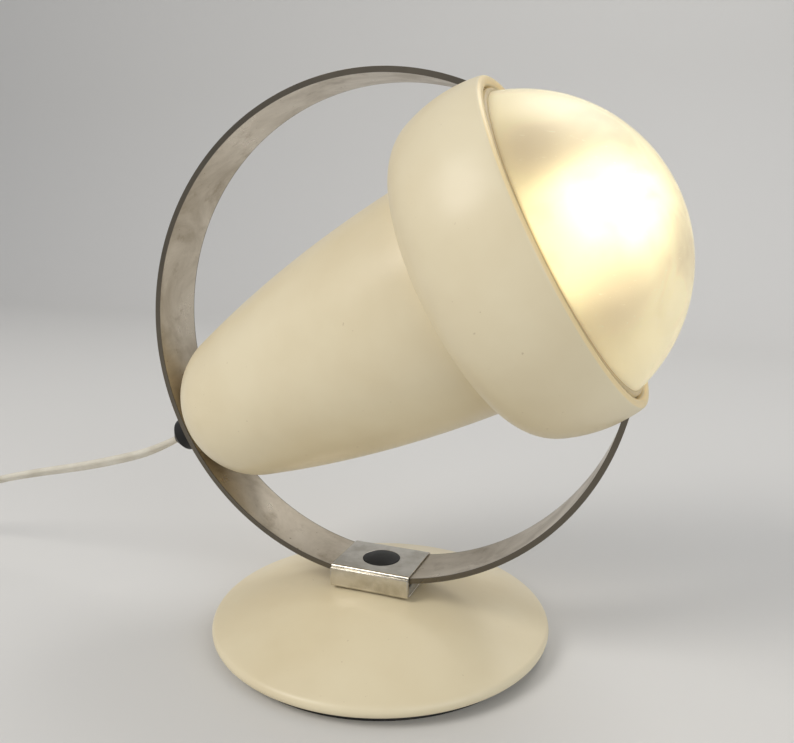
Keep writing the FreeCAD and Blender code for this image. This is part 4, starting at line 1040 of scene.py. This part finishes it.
def makeShade():
    # quarter-round back, long bulged side and rolled rim, slotted for the ring
    shape = shadeShape
    wall, lip, crown = shape["wall"], shape["lip"], shape["crown"]
    inner = crown - wall
    backSine, frontSine = shape["backHalf"] / crown, shape["frontHalf"] / crown
    backCosine, frontCosine = math.sqrt(1 - backSine**2), math.sqrt(1 - frontSine**2)
    shoulder = (
        shape["neck"][0] + shape["bulge"] * backCosine,
        shape["neck"][1] + shape["bulge"] * (1 - backSine),
    )
    middle = (shoulder[0] - crown * backCosine, shoulder[1] + shape["backHalf"])
    rim = (middle[0] + crown * frontCosine, middle[1] + shape["frontHalf"])
    lipInside = rim[0] - lip * (frontCosine + 1)
    lipStation = rim[1] - lip * frontSine
    atBack = middle[0] + math.sqrt(inner**2 - (shape["lipBack"] - middle[1]) ** 2)
    insideShoulder = (shoulder[0] - wall * backCosine, shoulder[1] + wall * backSine)
    neckTop = shape["neck"][1] + shape["bulge"] - math.sqrt((shape["bulge"] - wall) ** 2 - wall**2)
    neckEnd = shape["neck"][1] + shape["neckLength"]
    shade = spunPiece(
        "shadeCollar",
        [
            (shape["neck"][0], neckEnd),
            (*shape["neck"], shape["bulge"], left, 26),
            (*shoulder, crown, left, 40),
            (*rim, lip, left, 16),
            (lipInside, lipStation),
            (lipInside, shape["lipBack"]),
            (atBack, shape["lipBack"], inner, right, 24),
            (*insideShoulder, shape["bulge"] - wall, right, 16),
            (shape["neck"][0] + wall, neckTop),
            (shape["neck"][0] + wall, neckEnd),
        ],
        steps=shape["steps"],
    )
    ring, gap = ringShape, shape["slotGap"]
    outer, inside = ring["radius"] + gap, ring["radius"] - ring["thickness"] - gap
    for side in (1, -1):
        corners = []
        for radius, angle in (
            (outer, shape["slot"][0]),
            (outer, shape["slot"][1]),
            (inside, shape["slot"][1]),
            (inside, shape["slot"][0]),
        ):
            turn = math.radians(angle)
            corners.append((side * radius * math.sin(turn), radius * math.cos(turn)))
        corners[0] += (outer, -side, 12)
        corners[2] += (inside, side, 12)
        pull = (0, (ring["width"] + 2 * gap) * mm, 0)
        cutAway(shade, pulledPiece("slotCutter", corners, upright, pull))
    shade.data.transform(headPlace)
    dress(shade, "painted_body", "head_ring", "shade")


domeShape = {
    "wall": 2.0,
    "radius": 72.6,
    "middle": 67.915,
    "skirt": 67.62,
    "skirtEnd": 85.93,
    "beadRadius": 1.2,
    "beadMiddle": (68.37, 93.1),
}


def makeDome():
    # a skirt inside the rim, a round bead beside the rim, and the dome
    shape = domeShape
    inner, inside = shape["radius"] - shape["wall"], shape["skirt"] - shape["wall"]
    across, along = shape["beadMiddle"]
    bead = shape["beadRadius"]
    # where the bead's inner side meets the dome
    start = Vector((across, along - shape["middle"]))
    reach = start.length
    share = (shape["radius"] ** 2 + reach**2 - bead**2) / (2 * shape["radius"] * reach)
    turn = math.atan2(start.x, start.y) - math.acos(min(1.0, share))
    meet = (shape["radius"] * math.sin(turn), shape["middle"] + shape["radius"] * math.cos(turn))
    dome = spunPiece(
        "frostedDome",
        [
            (shape["skirt"], shape["skirtEnd"]),
            (shape["skirt"], along - 2 * bead),
            (across + bead, along - bead),
            (across + bead, along, bead, left, 12),
            (*meet, shape["radius"], left, 48),
            (0, shape["middle"] + shape["radius"]),
            (0, shape["middle"] + inner, inner, right, 48),
            (inside, shape["middle"] + math.sqrt(inner**2 - inside**2)),
            (inside, shape["skirtEnd"]),
        ],
        place=headPlace,
    )
    dress(dome, "frosted", "head_ring", "diffuser")


glandShape = {
    "bore": 2.3,
    "stem": 5.05,
    "stemEnd": -124.4,
    "seat": -115.05,
    "flange": (8.5, -125.4),
    "nose": (3.1, -130.8),
    "edgeRound": 0.3,
    "steps": 64,
}


def makeGland():
    shape = glandShape
    gland = spunPiece(
        "cableGland",
        [
            (shape["stem"], shape["seat"]),
            (shape["stem"], shape["stemEnd"]),
            (shape["bore"], shape["stemEnd"]),
            (shape["bore"], shape["nose"][1]),
            shape["nose"],
            shape["flange"],
            (shape["flange"][0], shape["seat"]),
        ],
        steps=shape["steps"],
        place=headPlace,
    )
    softenEdges(gland, shape["edgeRound"] * mm, segments=3)
    dress(gland, "black_plastic", "head_ring", "cable_gland")


# cord

cordShape = {
    "width": 5.4,
    "thickness": 3.2,
    "groove": 0.55,
    "coreSteps": 12,
    "blendStart": (-0.117, 0, 0.084),
    "blendEnd": (-0.262, 0.0, 0.036),
    # the flat flex leaves the gland on edge and turns as it hangs: the first points' tilts
    "tilts": (6.0, 34.0, 62.0, 62.0, 50.0, 36.0, 22.0, 10.0),
    "coilMiddle": (-272.0, -84.0),
    "coilOutside": 39.4,
    "pitch": 5.6,
    "layer": 3.4,
    "lowest": 1.7,
    "turnsPerLayer": 3,
    "pointsPerTurn": 14,
    "turns": 6.75,
    # the share of a turn in which the cord climbs to the next layer
    "climb": 0.3,
    "order": 3,
    "resolution": 6,
    "mergeReach": 0.00001,
    "smoothAngle": 50.0,
}

cordRun = [
    (-115.2, 0.0, 84.7),
    (-131.0, 0.0, 76.1),
    (-152.0, 0.0, 69.0),
    (-180.0, 0.0, 61.0),
    (-212.0, 0.0, 53.5),
    (-244.0, 0.0, 45.0),
    (-274.0, 1.0, 33.0),
    (-302.0, 0.0, 19.5),
    (-326.0, -3.0, 11.0),
    (-338.0, -20.0, 8.0),
    (-338.0, -36.0, 8.0),
    (-338.0, -64.0, 8.0),
    (-338.0, -92.0, 8.0),
    (-338.0, -114.0, 5.0),
    (-324.0, -127.5, 2.6),
    (-303.0, -125.5, 1.9),
    (-286.0, -123.7, 1.7),
]

plugRun = [
    (-308.5, -84.0, 10.0),
    (-307.5, -96.0, 12.6),
    (-302.5, -107.0, 15.2),
    (-295.5, -113.0, 16.7),
    (-286.0, -114.0, 17.0),
]


def coilRun():
    # from the outside inwards, then back outwards on top, and so on
    shape = cordShape
    points = []
    perTurn, perLayer = shape["pointsPerTurn"], shape["turnsPerLayer"]
    for step in range(int(shape["turns"] * perTurn)):
        turn = step / perTurn
        layer = int(turn // perLayer)
        inLayer = turn - layer * perLayer
        across = inLayer if layer % 2 == 0 else perLayer - inLayer
        climb = max(0.0, (inLayer - (perLayer - shape["climb"])) / shape["climb"])
        radius = shape["coilOutside"] - shape["pitch"] * across
        angle = math.radians(-90) + 2 * math.pi * turn
        points.append(
            (
                shape["coilMiddle"][0] + radius * math.cos(angle),
                shape["coilMiddle"][1] + radius * math.sin(angle),
                shape["lowest"] + shape["layer"] * (layer + climb),
            )
        )
    return points


def splineThrough(name, points, tilts):
    curve = bpy.data.curves.new(name, "CURVE")
    curve.dimensions = "3D"
    spline = curve.splines.new("NURBS")
    spline.points.add(len(points) - 1)
    for point, place, tilt in zip(spline.points, points, tilts):
        point.co = (*inMetres(*place), 1)
        point.tilt = tilt
    spline.order_u = cordShape["order"]
    spline.use_endpoint_u = True
    spline.resolution_u = cordShape["resolution"]
    curve.twist_mode = "Z_UP"
    item = bpy.data.objects.new(name, curve)
    bpy.context.scene.collection.objects.link(item)
    return item


def twinSection():
    # the two round cores side by side, with a groove between them
    shape = cordShape
    radius = shape["thickness"] / 2
    middle = shape["width"] / 2 - radius
    steps = shape["coreSteps"]
    points = []
    for side in (1, -1):
        limit = math.acos(-(middle - shape["groove"]) / radius)
        for step in range(steps + 1):
            angle = -limit + 2 * limit * step / steps
            across, up = middle + radius * math.cos(angle), radius * math.sin(angle)
            points.append((side * across, side * up))
    curve = bpy.data.curves.new("twinSection", "CURVE")
    curve.dimensions = "2D"
    spline = curve.splines.new("POLY")
    spline.points.add(len(points) - 1)
    for point, (x, y) in zip(spline.points, points):
        point.co = (*inMetres(x, y), 0, 1)
    spline.use_cyclic_u = True
    section = bpy.data.objects.new("twinSection", curve)
    bpy.context.scene.collection.objects.link(section)
    return section


def makeCord(carried):
    # carried: the pieces that hang on the cord; not used
    shape = cordShape
    points = cordRun + coilRun() + plugRun
    tilts = [math.radians(tilt) for tilt in shape["tilts"]]
    tilts += [0.0] * (len(points) - len(tilts))
    line = splineThrough("cordLine", points, tilts)
    bpy.context.view_layer.update()
    bare = bpy.data.meshes.new_from_object(line)
    section = twinSection()
    line.data.bevel_mode = "OBJECT"
    line.data.bevel_object = section
    line.data.use_fill_caps = True
    pick(line)
    bpy.ops.object.convert(target="MESH")
    cord = bpy.context.object
    cord.name = "mainsCord"
    bpy.data.objects.remove(section)
    bpy.ops.object.mode_set(mode="EDIT")
    bpy.ops.mesh.select_all(action="SELECT")
    bpy.ops.mesh.remove_doubles(threshold=shape["mergeReach"])
    bpy.ops.mesh.normals_make_consistent(inside=False)
    bpy.ops.object.mode_set(mode="OBJECT")
    bpy.ops.object.shade_smooth_by_angle(angle=math.radians(shape["smoothAngle"]))
    cord.data.materials.clear()
    cord.data.materials.append(looks["cord"])
    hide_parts("cord_tube", "cord_tail", "cord_coil")
    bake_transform(cord)


switchShape = {
    "place": (-338.0, -64.0),
    "half": (12.5, 28.0),
    "corner": 8.0,
    # the solid it replaces, bottom, top, softened edge
    "shells": {
        "switchBase": ("switch_base", 0.0, 7.95, 0.9),
        "switchCover": ("switch_cover", 8.05, 16.0, 2.0),
    },
    # where the rocker sits: half its width and length, its floor and the cut's height
    "window": (5.5, 9.8),
    "floor": 1.6,
    "cutHeight": 20.0,
    "softAngle": 60.0,
}


def makeSwitch():
    # two moulded shells with softened edges, open where the rocker rocks
    shape = switchShape
    (x, y), c = shape["half"], shape["corner"]
    outline = [
        (x, c - y),
        (x, y - c, c, left, 8),
        (x - c, y),
        (c - x, y, c, left, 8),
        (-x, y - c),
        (-x, c - y, c, left, 8),
        (c - x, -y),
        (x - c, -y, c, left, 8),
    ]
    shells = []
    for name, (solid, low, high, soft) in shape["shells"].items():
        middle = inMetres(*shape["place"], (low + high) / 2)
        pull = inMetres(0, 0, high - low)
        shell = pulledPiece(name, outline, level, pull, Matrix.Translation(middle))
        softenEdges(shell, soft * mm, segments=4, angle=shape["softAngle"])
        deselectAll()
        width, length = shape["window"]
        middle = inMetres(*shape["place"], shape["floor"] + shape["cutHeight"] / 2)
        bpy.ops.mesh.primitive_cube_add(size=1, location=middle)
        cutter = bpy.context.object
        cutter.scale = inMetres(2 * width, 2 * length, shape["cutHeight"])
        bpy.ops.object.transform_apply(location=True, rotation=True, scale=True)
        cutAway(shell, cutter)
        dress(shell, "cream_plastic", "base", solid)
        shells.append(shell)
    return shells


plugShape = {
    "place": (-290.0, -114.0, 10.2),
    "length": 36.0,
    "tail": 6.0,
    "shoulder": (19.8, 17.5),
    "face": 15.5,
    "thickness": 13.7,
    "soft": 2.6,
    "softAngle": 15.0,
}


def makePlug():
    # flat moulded plug with softened edges
    shape = plugShape
    place = (Vector(shape["place"]) + Vector((0, 0, shape["thickness"] / 2))) * mm
    plug = pulledPiece(
        "plugBody",
        [
            (0, -shape["tail"]),
            (shape["shoulder"][0], -shape["shoulder"][1]),
            (shape["length"], -shape["face"]),
            (shape["length"], shape["face"]),
            (shape["shoulder"][0], shape["shoulder"][1]),
            (0, shape["tail"]),
        ],
        level,
        (0, 0, shape["thickness"] * mm),
        place=Matrix.Translation(place),
    )
    softenEdges(plug, shape["soft"] * mm, segments=5, angle=shape["softAngle"])
    dress(plug, "cream_plastic", "base", "plug_body")
    return plug


def dressNodes():
    # the CAD pieces that stay take the finish of their slot
    slots = {entry["node"]: entry["material_slot"] for entry in frame["record"]["subparts"]}
    for name, node in nodes.items():
        node.data.materials.clear()
        node.data.materials.append(looks[slots[name]])


nodes = frame["nodes"]
makeCamera()
makeLamps()
makeFloor()
print("studio ready")
looks = makeMaterials()
dressNodes()
print("materials ready")
makeCord(makeSwitch() + [makePlug()])
print("cord ready")
makeBase()
makeBracket()
makeButton()
print("base ready")
makeRing()
makeBody()
makeShade()
makeDome()
makeGland()
print("head ready")
